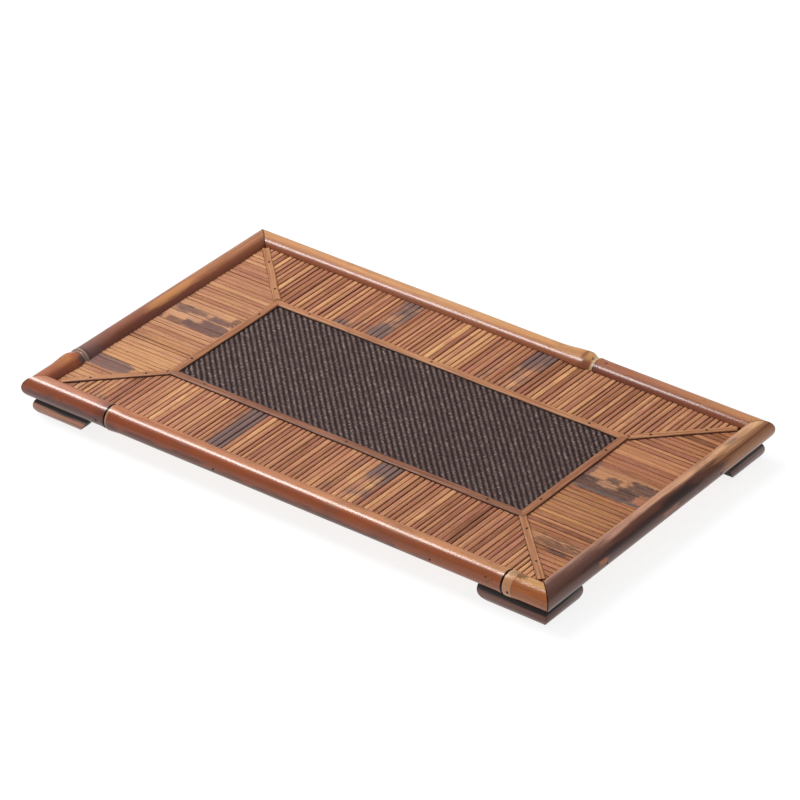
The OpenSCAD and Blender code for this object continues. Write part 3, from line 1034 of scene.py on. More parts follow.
@dataclass(frozen=True)
class CulmNode:
    """One node of a culm: swelling, neck, sheath scar and the lip of the next length."""

    at: float
    side: int
    swell: float
    swell_length: float
    neck: float
    neck_length: float
    scar_depth: float = 0.5
    scar_width: float = 1.0
    lip: float = 0.3
    lip_length: float = 6.0
    crisp: float = 1.0

    def gain(self, x: float) -> float:
        """Radius gained at a place along the culm.

        Args:
            x: The place.

        Returns:
            The gain, less than nothing in the neck and the scar.
        """
        away = self.side * (self.at - x)
        half = self.scar_width / 2
        if away > self.neck_length:
            share = min(1.0, (away - self.neck_length) / self.swell_length)
            return self.swell * ((1 + math.cos(math.pi * share)) / 2) ** self.crisp
        if away > half:
            share = (self.neck_length - away) / (self.neck_length - half)
            fall = (1 - math.cos(math.pi * share)) / 2
            fall = fall ** (1 / self.crisp)
            return self.swell - (self.swell + self.neck) * fall
        if away > -half:
            groove = math.cos(math.pi * away / self.scar_width) ** 0.5
            edge = -self.neck if away > 0 else self.lip
            return edge + (-self.neck - self.scar_depth - edge) * groove
        share = min(1.0, (-away - half) / self.lip_length)
        return self.lip * (1 + math.cos(math.pi * share)) / 2

    def places(self) -> list[float]:
        """Places along the culm that the node's form needs."""
        half = self.scar_width / 2
        away = [self.neck_length + self.swell_length * i / 14 for i in range(15)]
        away += [half + (self.neck_length - half) * i / 12 for i in range(1, 12)]
        away += [half * i / 4 for i in range(-4, 5)]
        away += [-half - self.lip_length * i / 6 for i in range(1, 7)]
        return [self.at - self.side * d for d in away]


@dataclass
class Rail:
    """A hollow culm along one side of the tray, slotted inside and mitred at both ends."""

    name: str
    bearing: Bearing
    length: float
    thick_end: int
    nodes: tuple[CulmNode, ...]
    finish: CulmFinish
    slot: str
    open_start: float = 0.0
    open_end: float = 0.0
    slot_high: float = 19.0
    slot_low: float = -27.9
    steps: int = 84
    spacing: float = 5.0
    wander: float = 0.16

    @property
    def centre(self) -> Vector:
        """Middle of the rail's axis."""
        reach = {Bearing.FRONT: (0, -SIZES.rail_y), Bearing.BACK: (0, SIZES.rail_y),
                 Bearing.LEFT: (-SIZES.rail_x, 0), Bearing.RIGHT: (SIZES.rail_x, 0)}
        return Vector((*reach[self.bearing], SIZES.rail_z))

    def radius(self, x: float) -> float:
        """Radius of the skin at a place along the rail."""
        plain = SIZES.culm_radius + self.thick_end * SIZES.culm_taper / 2 * x / self.length
        return plain + sum(node.gain(x) for node in self.nodes)

    def skin_point(self, x: float, rise: float) -> tuple[Vector, Vector]:
        """A point of the outer side and the way out of the culm there.

        Args:
            x: Place along the rail.
            rise: Height over its axis.

        Returns:
            The point and the direction, in the tray's millimetres.
        """
        radius = self.radius(x)
        out = Vector((0.0, -math.sqrt(radius ** 2 - rise ** 2), rise))
        matrix = self.bearing.matrix(self.centre)
        return matrix @ (Vector((x, 0, 0)) + out), (matrix.to_3x3() @ out).normalized()

    def places(self) -> list[float]:
        """Places of the culm's rings, closer together at its nodes."""
        half = self.length / 2 + 6.0
        count = int(2 * half / self.spacing)
        plain = [-half + 2 * half * i / count for i in range(count + 1)]
        close = [x for node in self.nodes for x in node.places()]
        plain = [x for x in plain if all(abs(x - c) > 1.2 for c in close)]
        return sorted(plain + close)

    def shell(self, mesh: bmesh.types.BMesh, radii: Sequence[tuple[float, float]],
              material: int) -> tuple[list[bmesh.types.BMEdge], list[bmesh.types.BMEdge]]:
        """Spins one wall of the culm round its axis, from one lip of the slot to the other.

        Args:
            mesh: The mesh.
            radii: Places along the axis and their radii.
            material: Number of the wall's material.

        Returns:
            The wall's edges at the start and at the end of the spin.
        """
        start = math.radians(self.slot_high)
        line = [mesh.verts.new((x, r * math.cos(start), r * math.sin(start))) for x, r in radii]
        edges = [mesh.edges.new(pair) for pair in zip(line, line[1:])]
        before = set(mesh.faces)
        turn = 2 * math.pi - math.radians(self.slot_high - self.slot_low)
        spun = bmesh.ops.spin(mesh, geom=line + edges, axis=(1, 0, 0), cent=(0, 0, 0),
                              steps=self.steps, angle=turn)
        for face in set(mesh.faces) - before:
            face.material_index = material
        last = [item for item in spun["geom_last"] if isinstance(item, bmesh.types.BMEdge)]
        return edges, last

    def weather(self, mesh: bmesh.types.BMesh) -> None:
        """Makes the skin slightly uneven, always inwards.

        Args:
            mesh: The mesh.
        """
        salt = sum(ord(letter) for letter in self.name)
        inner = SIZES.culm_radius - SIZES.culm_wall + 0.5
        for vertex in mesh.verts:
            away = math.hypot(vertex.co.y, vertex.co.z)
            if away < inner:
                continue
            spot = Vector((vertex.co.x * 0.014, vertex.co.y * 0.07, vertex.co.z * 0.07 + salt))
            loss = self.wander * (0.5 + 0.5 * noise.noise(spot))
            vertex.co.y *= 1 - loss / away
            vertex.co.z *= 1 - loss / away

    def build(self) -> None:
        """Builds the rail."""
        mesh = bmesh.new()
        places = self.places()
        outside = self.shell(mesh, [(x, self.radius(x)) for x in places], 0)
        bore = SIZES.culm_radius - SIZES.culm_wall
        inside = self.shell(mesh, [(x, bore) for x in places], 2)
        for first, second in zip(outside, inside):
            for face in bmesh.ops.bridge_loops(mesh, edges=first + second)["faces"]:
                face.material_index = 1
        self.weather(mesh)
        corner = self.length / 2 - SIZES.culm_radius - SIZES.fit / 2
        slice_off(mesh, (corner - self.open_end, 0, 0), (1, 1, 0), 1)
        slice_off(mesh, (self.open_start - corner, 0, 0), (-1, 1, 0), 1)
        bmesh.ops.transform(mesh, matrix=self.bearing.matrix(self.centre), verts=mesh.verts)
        bmesh.ops.recalc_face_normals(mesh, faces=mesh.faces)
        skin = self.finish.make(self.bearing, tuple(self.centre), self.length)
        Shop.hand_over(mesh, self.name, [skin, FINISHES.cut, FINISHES.bore], self.slot,
                       [self.name], 40.0)


@dataclass(frozen=True)
class Soot:
    """A sooty stretch of slats: where across the slats, and how dark at places along them."""

    start: float
    stop: float
    amounts: tuple[tuple[float, float], ...]

    def amount(self, across: float, along: float) -> float:
        """Darkness at a place.

        Args:
            across: Place of the slat's middle across the slats.
            along: Place along the slat.

        Returns:
            0 for clean to 1 for black.
        """
        if not self.start <= across <= self.stop:
            return 0.0
        for (left, low), (right, high) in zip(self.amounts, self.amounts[1:]):
            if left <= along <= right:
                return low + (high - low) * (along - left) / (right - left)
        return self.amounts[0][1] if along < self.amounts[0][0] else self.amounts[-1][1]


@dataclass
class SlatPanel:
    """The split slats of one side, laid side by side and cut along the mitres."""

    name: str
    bearing: Bearing
    finish: SlatFinish
    slot: str
    soot: tuple[Soot, ...] = ()
    cuts: int = 3
    round_off: float = 0.95
    drop: float = 0.35
    tilt: float = 2.5
    shrink: float = 0.45
    board_from: float = 10.0

    def place(self, low: Vector, high: Vector) -> tuple[float, float]:
        """Middle across the slats, and the slat's width.

        Args:
            low: Lowest corner of the slat.
            high: Highest corner of the slat.

        Returns:
            The middle and the width.
        """
        axis = 0 if self.bearing in (Bearing.FRONT, Bearing.BACK) else 1
        return (low[axis] + high[axis]) / 2, high[axis] - low[axis]

    def slat(self, mesh: bmesh.types.BMesh, low: Vector, high: Vector, dice: random.Random) -> None:
        """Adds one slat.

        Args:
            mesh: The panel's mesh.
            low: Lowest corner of the frame's slat.
            high: Highest corner of it.
            dice: Draws the slat's small differences.
        """
        one = bmesh.new()
        bmesh.ops.create_cube(one, size=1.0)
        turned = self.bearing in (Bearing.FRONT, Bearing.BACK)
        size, middle = high - low, (low + high) / 2
        across, width = self.place(low, high)
        wide = width > self.board_from
        loss = self.shrink * dice.random() ** 2 + (0.5 if dice.random() < 0.08 else 0.0)
        loss = 0.0 if wide else loss
        bmesh.ops.scale(one, vec=(size.y if turned else size.x, width - loss, size.z),
                        verts=one.verts)
        long_edges = [e for e in one.edges if abs(e.verts[0].co.x - e.verts[1].co.x) > 0.01]
        bmesh.ops.subdivide_edges(one, edges=long_edges, cuts=self.cuts)
        top = [e for e in one.edges if all(v.co.z > 0 for v in e.verts)
               and abs(e.verts[0].co.y - e.verts[1].co.y) < 0.01
               and abs(e.verts[0].co.x - e.verts[1].co.x) > 0.01]
        round_off = 0.25 if wide else self.round_off * dice.uniform(0.65, 1.2)
        bmesh.ops.bevel(one, geom=top, offset=round_off,
                        affect="EDGES", segments=3, profile=0.5, material=-1)
        roll = Matrix.Rotation(math.radians(dice.uniform(-self.tilt, self.tilt)) * 4.4 / width,
                               4, "X")
        sink = Matrix.Translation((0, 0, -self.drop * dice.random()))
        bmesh.ops.transform(one, matrix=sink @ roll, verts=one.verts)
        layers = {name: one.verts.layers.float.new(name)
                  for name in ("tone", "seed", "rise", "soot")}
        tone, seed = 0.5 + 0.5 * (dice.random() + dice.random() - 1), dice.random()
        reach = size.z * 0.5
        for vertex in one.verts:
            vertex.co.z = min(vertex.co.z, reach)
            vertex[layers["tone"]] = tone
            vertex[layers["seed"]] = seed
            # rise runs from 0 low on the slat's edge to 1 on its top and places the painted shade
            # in the grooves.
            vertex[layers["rise"]] = max(0.0, min(1.0, (vertex.co.z + reach - 0.55) / 1.1))
        turn = Matrix.Rotation(math.radians(90) if turned else 0.0, 4, "Z")
        bmesh.ops.transform(one, matrix=Matrix.Translation(middle) @ turn, verts=one.verts)
        for vertex in one.verts:
            along = vertex.co.y if turned else vertex.co.x
            amounts = [stretch.amount(across, along) for stretch in self.soot]
            vertex[layers["soot"]] = max(amounts, default=0.0)
        self.trim(one)
        loose = bpy.data.meshes.new("slat")
        one.to_mesh(loose)
        one.free()
        mesh.from_mesh(loose)
        bpy.data.meshes.remove(loose)

    def trim(self, one: bmesh.types.BMesh) -> None:
        """Cuts a slat along the two mitre lines beside its panel.

        Args:
            one: The slat in its place.
        """
        turned = self.bearing in (Bearing.FRONT, Bearing.BACK)
        offset = SIZES.rail_x - SIZES.rail_y
        tip = (-offset if turned else offset) + SIZES.seam / math.sqrt(2)
        sign = -1 if self.bearing in (Bearing.FRONT, Bearing.LEFT) else 1
        point = (0, sign * tip, 0) if turned else (sign * tip, 0, 0)
        for other in (-1, 1):
            normal = (other, -sign, 0) if turned else (-sign, other, 0)
            slice_off(one, point, normal, 1)

    def build(self) -> None:
        """Builds the panel from the places of the frame's slats."""
        dice = random.Random(SEED + len(self.name) * 7 + ord(self.name[0]))
        mesh = bmesh.new()
        for low, high in solids_of(self.name):
            self.slat(mesh, low, high, dice)
        bmesh.ops.recalc_face_normals(mesh, faces=mesh.faces)
        Shop.hand_over(mesh, self.name, [self.finish.make(self.bearing), FINISHES.cut], self.slot,
                       [self.name], 50.0)


@dataclass
class WovenMat:
    """The mat in a weave of two over and two under, with real threads on a dark backing."""

    cells_x: int = 55
    cells_y: int = 21
    thread_wide: float = 1.1
    thread_thick: float = 0.5
    lift: float = 0.32
    backing: float = 0.6
    # Rise of a thread at its four crossings, which the threads' finish turns into painted shade
    # where it dives.
    wear_and_shade: tuple[float, ...] = (1.0, 0.85, 0.0, 0.0)

    def ring(self, mesh: bmesh.types.BMesh, across: float,
             height: float) -> list[bmesh.types.BMEdge]:
        """Adds the closed start of one thread at X = 0.

        Args:
            mesh: The mesh.
            across: The thread's place in Y.
            height: Its height there.

        Returns:
            The edges that the thread goes on from.
        """
        verts = bmesh.ops.create_circle(mesh, segments=4, radius=1.0, cap_ends=True)["verts"]
        turn = Matrix.Rotation(math.radians(90), 4, "Y")
        shape = Matrix.Diagonal((1, self.thread_wide / 2, self.thread_thick / 2, 1))
        place = Matrix.Translation((0, across, height))
        bmesh.ops.transform(mesh, matrix=place @ shape @ turn, verts=verts)
        return list({edge for vertex in verts for edge in vertex.link_edges})

    def weave(self, mesh: bmesh.types.BMesh, pitch: float, spacing: float, crossings: int,
              phases: Sequence[int]) -> None:
        """Adds threads side by side along X, each over two crossings and under two.

        Args:
            mesh: The mesh.
            pitch: Distance between crossings.
            spacing: Distance between threads.
            crossings: Number of crossings.
            phases: Crossing at which each thread comes up.
        """
        height = (self.lift, self.lift, -self.lift, -self.lift)
        rise = mesh.verts.layers.float.new("rise")
        edges = [edge for i, phase in enumerate(phases)
                 for edge in self.ring(mesh, (i + 0.5) * spacing, height[phase % 4])]
        for vertex in mesh.verts:
            vertex[rise] = self.wear_and_shade[phases[int(vertex.co.y // spacing)] % 4]
        for step in range(1, crossings + 1):
            made = bmesh.ops.extrude_edge_only(mesh, edges=edges)["geom"]
            edges = [item for item in made if isinstance(item, bmesh.types.BMEdge)]
            for vertex in (item for item in made if isinstance(item, bmesh.types.BMVert)):
                now = (phases[int(vertex.co.y // spacing)] + step) % 4
                vertex.co.x = step * pitch
                vertex.co.z += height[now] - height[now - 1]
                vertex[rise] = self.wear_and_shade[now]
        bmesh.ops.holes_fill(mesh, edges=edges, sides=4)

    def threads(self, name: str, bearing: Bearing, finish: ThreadFinish) -> None:
        """Builds all threads of one direction.

        Args:
            name: The piece's name.
            bearing: FRONT for threads along X, RIGHT for threads along Y.
            finish: Their finish.
        """
        long_way = bearing is Bearing.FRONT
        counts = (self.cells_x, self.cells_y) if long_way else (self.cells_y, self.cells_x)
        halves = (SIZES.mat_x, SIZES.mat_y) if long_way else (SIZES.mat_y, SIZES.mat_x)
        pitch, spacing = (half / (2 * count) for half, count in zip(halves, counts))
        phases = [i if long_way else (2 - i) % 4 for i in range(4)]
        mesh = bmesh.new()
        self.weave(mesh, pitch, spacing, 4 * counts[0], phases)
        shift = Matrix.Translation((-halves[0], -halves[1], 0))
        level = SIZES.board_top + self.backing + self.lift + self.thread_thick / 2
        bmesh.ops.transform(mesh, matrix=bearing.matrix(Vector((0, 0, level))) @ shift,
                            verts=mesh.verts)
        bmesh.ops.recalc_face_normals(mesh, faces=mesh.faces)
        piece = Shop.hand_over(mesh, name, [finish.make(bearing)], "mat", ["woven_mat"], 180.0)
        rows = piece.modifiers.new("rows", "ARRAY")
        rows.use_relative_offset = False
        rows.use_constant_offset = True
        rows.constant_offset_displace = (bearing.matrix(Vector()).to_3x3()
                                         @ Vector((0, 4 * spacing * MM, 0)))
        rows.count = counts[1]

    def build(self) -> None:
        """Builds the backing, the long threads and the cross threads."""
        mesh = bmesh.new()
        bmesh.ops.create_cube(mesh, size=1.0)
        bmesh.ops.scale(mesh, vec=(2 * SIZES.mat_x, 2 * SIZES.mat_y, self.backing),
                        verts=mesh.verts)
        bmesh.ops.translate(mesh, vec=(0, 0, SIZES.board_top + self.backing / 2), verts=mesh.verts)
        bmesh.ops.bevel(mesh, geom=mesh.edges, offset=0.1, affect="EDGES", segments=1,
                        profile=0.5, material=-1)
        Shop.hand_over(mesh, "mat_backing", [FINISHES.backing], "mat", ["woven_mat"])
        self.threads("mat_long_threads", Bearing.FRONT, FINISHES.long_thread)
        self.threads("mat_cross_threads", Bearing.RIGHT, FINISHES.cross_thread)


@dataclass
class Strip:
    """A thin flat strip along X with its outer edge to -Y, before it goes to its place."""

    name: str
    matrix: Matrix
    grain: Bearing
    start: float
    stop: float
    width: float
    cuts: tuple[tuple[Point, Point], ...] = ()
    coped: bool = False
    spacing: float = 7.0
    round_off: float = 1.25
    wander: float = 0.45

    def build(self) -> None:
        """Builds the strip."""
        mesh = bmesh.new()
        bmesh.ops.create_cube(mesh, size=1.0)
        length = self.stop - self.start
        bmesh.ops.scale(mesh, vec=(length, self.width, SIZES.strip_thickness), verts=mesh.verts)
        bmesh.ops.translate(mesh, vec=((self.start + self.stop) / 2, 0,
                                       SIZES.strip_thickness / 2), verts=mesh.verts)
        long_edges = [e for e in mesh.edges if abs(e.verts[0].co.x - e.verts[1].co.x) > 0.01]
        bmesh.ops.subdivide_edges(mesh, edges=long_edges, cuts=max(1, int(length / self.spacing)))
        top = [e for e in mesh.edges if all(v.co.z > 0.01 for v in e.verts)
               and abs(e.verts[0].co.y - e.verts[1].co.y) < 0.01
               and abs(e.verts[0].co.x - e.verts[1].co.x) > 0.01]
        bmesh.ops.bevel(mesh, geom=top, offset=self.round_off, affect="EDGES", segments=4,
                        profile=0.5, material=-1)
        rise = mesh.verts.layers.float.new("rise")
        salt = sum(ord(letter) for letter in self.name) * 0.7
        for vertex in mesh.verts:
            # rise runs from 0 at the strip's bottom to 1 on its top and places the painted shade on
            # its edges.
            vertex[rise] = max(0.0, min(1.0, vertex.co.z / SIZES.strip_thickness))
            spot = Vector((vertex.co.x * 0.035, salt, 0.0))
            vertex.co.y += self.wander * noise.noise(spot)
            if vertex.co.z > 0.1:
                vertex.co.z -= 0.12 * (0.5 + 0.5 * noise.noise(spot * 2.3))
        for point, normal in self.cuts:
            slice_off(mesh, point, normal, 1)
        if self.coped:
            self.cope(mesh)
        bmesh.ops.transform(mesh, matrix=self.matrix, verts=mesh.verts)
        bmesh.ops.recalc_face_normals(mesh, faces=mesh.faces)
        skin = FINISHES.strips[self.grain]
        Shop.hand_over(mesh, self.name, [skin, FINISHES.cut], "strip", [self.name], 50.0)

    def cope(self, mesh: bmesh.types.BMesh) -> None:
        """Notches the strip's start so that it holds the border's corner, which is at the origin.

        Args:
            mesh: The strip before it goes to its place.
        """
        tip = Vector((SIZES.fit * math.sqrt(2), 0, 0))
        for side in (-1, 1):
            geometry = mesh.verts[:] + mesh.edges[:] + mesh.faces[:]
            bmesh.ops.bisect_plane(mesh, geom=geometry, dist=0.0001, plane_co=tip,
                                   plane_no=Vector((1, side, 0)))
        gone = [f for f in mesh.faces
                if f.calc_center_median().x + abs(f.calc_center_median().y) < tip.x]
        bmesh.ops.delete(mesh, geom=gone, context="FACES")
        rim = [edge for edge in mesh.edges if edge.is_boundary]
        corner = [v for v in {v for edge in rim for v in edge.verts} if abs(v.co.y) < 0.001]
        upright = mesh.edges.new(corner)
        for side in (-1, 1):
            loop = [e for e in rim if all(v.co.y * side > -0.001 for v in e.verts)]
            for face in bmesh.ops.contextual_create(mesh, geom=loop + [upright])["faces"]:
                face.material_index = 1


@dataclass
class StripWork:
    """The four strips round the mat and the four over the diagonal seams."""

    def border(self, name: str, bearing: Bearing, half: float, away: float) -> Strip:
        """One strip of the border.

        Args:
            name: The strip's name.
            bearing: The side that it lies on.
            half: Its half length outside.
            away: Distance of its outer edge from the middle.

        Returns:
            The strip.
        """
        middle = SIZES.border_width / 2
        turned = {Bearing.FRONT: 0, Bearing.RIGHT: 90, Bearing.BACK: 180, Bearing.LEFT: 270}
        matrix = (Matrix.Rotation(math.radians(turned[bearing]), 4, "Z")
                  @ Matrix.Translation((0, middle - away, SIZES.slat_top)))
        reach = half - middle - SIZES.fit / 2
        cuts = (((reach, 0, 0), (1, 1, 0)), ((-reach, 0, 0), (-1, 1, 0)))
        return Strip(name, matrix, bearing, -half, half, SIZES.border_width, cuts)

    def mitre(self, name: str, side_x: int, side_y: int) -> Strip:
        """One strip over a diagonal seam.

        Args:
            name: The strip's name.
            side_x: 1 at the right, -1 at the left.
            side_y: 1 at the back, -1 at the front.

        Returns:
            The strip.
        """
        angle = math.atan2(side_y, side_x)
        matrix = (Matrix.Translation((side_x * SIZES.border_x, side_y * SIZES.border_y,
                                      SIZES.slat_top)) @ Matrix.Rotation(angle, 4, "Z"))
        grain = Bearing.RISING if side_x == side_y else Bearing.FALLING
        return Strip(name, matrix, grain, -SIZES.mitre_width, SIZES.mitre_end,
                     SIZES.mitre_width, coped=True, round_off=1.1, wander=0.25)

    def build(self) -> None:
        """Builds all eight strips."""
        self.border("front_border_strip", Bearing.FRONT, SIZES.border_x, SIZES.border_y).build()
        self.border("back_border_strip", Bearing.BACK, SIZES.border_x, SIZES.border_y).build()
        self.border("left_border_strip", Bearing.LEFT, SIZES.border_y, SIZES.border_x).build()
        self.border("right_border_strip", Bearing.RIGHT, SIZES.border_y, SIZES.border_x).build()
        for ends, side_y in (("front", -1), ("back", 1)):
            for side, side_x in (("left", -1), ("right", 1)):
                self.mitre(f"{ends}_{side}_mitre_strip", side_x, side_y).build()


@dataclass
class NailWork:
    """Heads of the nails in the strips and rails, where the frame has them."""

    head: float = 1.1
    dome: float = 0.45
    shank: float = 0.6
    depth: float = 1.2
    big_head: float = 1.5
    steps: int = 14

    def nail(self, mesh: bmesh.types.BMesh, matrix: Matrix, head: float, dome: float) -> None:
        """Adds one nail with its head at the origin before it goes to its place.

        Args:
            mesh: The mesh.
            matrix: The nail's place, its +Z out of the wood.
            head: Radius of the head.
            dome: Height of the head.
        """
        outline = [(0, dome), (0.5 * head, 0.82 * dome), (0.88 * head, 0.4 * dome), (head, 0),
                   (self.shank, -0.1), (self.shank, -self.depth), (0, -self.depth - 0.6)]
        line = [mesh.verts.new((r, 0, z)) for r, z in outline]
        edges = [mesh.edges.new(pair) for pair in zip(line, line[1:])]
        before = set(mesh.verts) - set(line)
        bmesh.ops.spin(mesh, geom=line + edges, axis=(0, 0, 1), cent=(0, 0, 0),
                       steps=self.steps, angle=2 * math.pi, use_merge=True)
        made = [v for v in mesh.verts if v not in before]
        bmesh.ops.transform(mesh, matrix=matrix, verts=made)

    def close(self, mesh: bmesh.types.BMesh, name: str, node: str) -> None:
        """Closes the poles and hands the nails over.

        Args:
            mesh: The nails.
            name: The piece's name.
            node: The node that they stand for.
        """
        bmesh.ops.remove_doubles(mesh, verts=mesh.verts, dist=0.001)
        bmesh.ops.recalc_face_normals(mesh, faces=mesh.faces)
        Shop.hand_over(mesh, name, [FINISHES.nail], "nail", [node], 60.0)

    def build(self, rails: Sequence[Rail]) -> None:
        """Builds the nails of the strips and the rails.

        Args:
            rails: The tray's rails.
        """
        dice = random.Random(SEED)
        for node in ("border_nails", "mitre_nails"):
            mesh = bmesh.new()
            for low, high in solids_of(node):
                top = Vector(((low.x + high.x) / 2, (low.y + high.y) / 2,
                              SIZES.slat_top + SIZES.strip_thickness - 0.1))
                lean = Matrix.Rotation(math.radians(dice.uniform(-7, 7)), 4, "X")
                lean @= Matrix.Rotation(math.radians(dice.uniform(-7, 7)), 4, "Y")
                self.nail(mesh, Matrix.Translation(top) @ lean,
                          self.head * dice.uniform(0.9, 1.1), self.dome)
            self.close(mesh, node, node)
        mesh = bmesh.new()
        rise = SIZES.board_rise - SIZES.board_thickness / 2
        for low, high in solids_of("rail_nails"):
            middle = (low + high) / 2
            bearing = self.nearest(middle)
            rail = next(r for r in rails if r.bearing is bearing)
            local = bearing.matrix(rail.centre).inverted() @ middle
            point, out = rail.skin_point(local.x, rise)
            aim = out.to_track_quat("Z", "Y").to_matrix().to_4x4()
            self.nail(mesh, Matrix.Translation(point - out * 0.28) @ aim, self.big_head, 0.3)
        self.close(mesh, "rail_nails", "rail_nails")

    @staticmethod
    def nearest(point: Vector) -> Bearing:
        """The side of the tray that a point lies on."""
        if SIZES.length / 2 - abs(point.x) < SIZES.width / 2 - abs(point.y):
            return Bearing.RIGHT if point.x > 0 else Bearing.LEFT
        return Bearing.BACK if point.y > 0 else Bearing.FRONT


@dataclass
class Leg:
    """One leg of a foot: planed, split, mitred at the corner and rounded or slanted at its end."""

    name: str
    side_x: int
    side_y: int
    length: float
    run: float
    slanted: bool = False
    swapped: bool = False
    segments: int = 72
    softened: float = 0.35

    def matrix(self) -> Matrix:
        """Takes a leg at the origin along +X, outer face to -Y, to its corner."""
        swap = Matrix(((0, 1, 0, 0), (1, 0, 0, 0), (0, 0, 1, 0), (0, 0, 0, 1)))
        place = Matrix.Translation((SIZES.foot_in - SIZES.rail_x, SIZES.foot_in - SIZES.rail_y, 0))
        made = Matrix.Diagonal((-self.side_x, -self.side_y, 1, 1)) @ place
        return made @ swap if self.swapped else made

    def end_cuts(self) -> list[tuple[Point, Point]]:
        """Planes that shape the leg's end, each as a point and the way out."""
        end = self.length - SIZES.foot_radius
        height = SIZES.foot_z + SIZES.foot_radius
        if self.slanted:
            return [((end - self.run, 0, 0), (height, 0, -self.run))]
        turns = [math.radians(a) for a in range(0, 91, 15)]
        arc = [(end - self.run * (1 - math.sin(a)), self.run * (1 - math.cos(a))) for a in turns]
        planes = [((x, 0, z), (after_z - z, 0, x - after_x))
                  for (x, z), (after_x, after_z) in zip(arc, arc[1:])]
        return planes + [((end, 0, 0), (1, 0, 0))]

    def build(self) -> None:
        """Builds the leg."""
        mesh = bmesh.new()
        total = self.length + 2 * SIZES.foot_radius
        bmesh.ops.create_cone(mesh, cap_ends=True, segments=self.segments,
                              radius1=SIZES.foot_radius, radius2=SIZES.foot_radius, depth=total)
        turn = Matrix.Rotation(math.radians(90), 4, "Y")
        middle = Vector((total / 2 - 2 * SIZES.foot_radius, 0, SIZES.foot_z))
        bmesh.ops.transform(mesh, matrix=Matrix.Translation(middle) @ turn, verts=mesh.verts)
        seat = Vector((0, -SIZES.foot_in, SIZES.rail_z - SIZES.foot_z)).normalized()
        seat_point = Vector((0, 0, SIZES.foot_z)) + seat * (SIZES.foot_radius - SIZES.cope - 0.1)
        planes = [((0, 0, 0), (0, 0, -1)), ((0, SIZES.foot_split, 0), (0, 1, 0)),
                  ((SIZES.fit, 0, 0), (-1, 1, 0)), (tuple(seat_point), tuple(seat))]
        for point, normal in planes + self.end_cuts():
            slice_off(mesh, point, normal, 1)
        bmesh.ops.dissolve_degenerate(mesh, edges=mesh.edges, dist=0.01)
        sharp = [e for e in mesh.edges if len(e.link_faces) == 2
                 and e.calc_face_angle(0.0) > math.radians(32)]
        bmesh.ops.bevel(mesh, geom=sharp, offset=self.softened, affect="EDGES", segments=2,
                        profile=0.5, material=-1, clamp_overlap=True)
        bmesh.ops.transform(mesh, matrix=self.matrix(), verts=mesh.verts)
        bmesh.ops.recalc_face_normals(mesh, faces=mesh.faces)
        skin = FINISHES.foot_long if self.side_x > 0 else FINISHES.foot_pale
        if self.swapped:
            skin = FINISHES.foot_ends
        Shop.hand_over(mesh, self.name, [skin, FINISHES.scorched], "foot", [self.name], 30.0)


@dataclass
class FeetWork:
    """The four feet of two legs each."""

    long_length: float = 60.0
    slant_length: float = 57.0
    short_length: float = 45.0
    end_run: float = 10.5
    slant_run: float = 12.5

    def build(self) -> None:
        """Builds the eight legs."""
        for ends, side_y in (("front", -1), ("back", 1)):
            for side, side_x in (("left", -1), ("right", 1)):
                corner = f"{ends}_{side}_foot"
                slanted = corner == "front_left_foot"
                Leg(f"{corner}_long_leg", side_x, side_y,
                    self.slant_length if slanted else self.long_length,
                    self.slant_run if slanted else self.end_run, slanted).build()
                Leg(f"{corner}_short_leg", side_x, side_y, self.short_length, self.end_run,
                    swapped=True).build()


class Finishes:
    """The finishes that more than one piece wears."""

    def __init__(self) -> None:
        """Builds the shared materials."""
        self.cut = CutFinish("sawn bamboo", colour(150, 108, 72), colour(70, 42, 30)).make()
        self.bore = CutFinish("inside of a culm", colour(70, 46, 34), colour(30, 20, 16)).make()
        self.scorched = CutFinish("scorched cut", colour(58, 40, 34), colour(26, 18, 18)).make()
        self.backing = CutFinish("mat backing", colour(44, 32, 32), colour(28, 20, 20)).make()
        self.nail = NailFinish().make()
        self.long_thread = ThreadFinish("long threads", colour(126, 102, 98),
                                        colour(186, 164, 156), colour(68, 51, 49))
        self.cross_thread = ThreadFinish("cross threads", colour(120, 96, 92),
                                         colour(158, 134, 128), colour(66, 50, 48))
        self.strips = {bearing: StripFinish(f"strip {bearing.name.lower()}").make(bearing)
                       for bearing in (Bearing.BACK, Bearing.RISING, Bearing.FALLING)}
        for bearing, base, warm in (
                (Bearing.FRONT, colour(152, 102, 76), colour(114, 69, 47)),
                (Bearing.LEFT, colour(176, 122, 86), colour(134, 82, 52)),
                (Bearing.RIGHT, colour(172, 118, 84), colour(130, 78, 50))):
            self.strips[bearing] = StripFinish(f"strip {bearing.name.lower()}", base,
                                               warm).make(bearing)
        # The feet's dark top band: partly scorched skin, partly painted shade under the rails.
        band = colour(36, 28, 28)
        self.foot_pale = FootFinish("pale foot skin", colour(178, 116, 84), colour(132, 78, 56),
                                    band).make(Bearing.FRONT)
        self.foot_long = FootFinish("foot skin", colour(122, 72, 54), colour(92, 50, 40),
                                    band).make(Bearing.FRONT)
        self.foot_ends = FootFinish("foot skin at the ends", colour(104, 60, 46),
                                    colour(78, 44, 36), band).make(Bearing.RIGHT)


FINISHES = Finishes()


class Reach(Enum):
    """Whether a soft box lights the tray or is only mirrored in it."""

    DIFFUSE = "diffuse"
    GLOSS = "gloss"


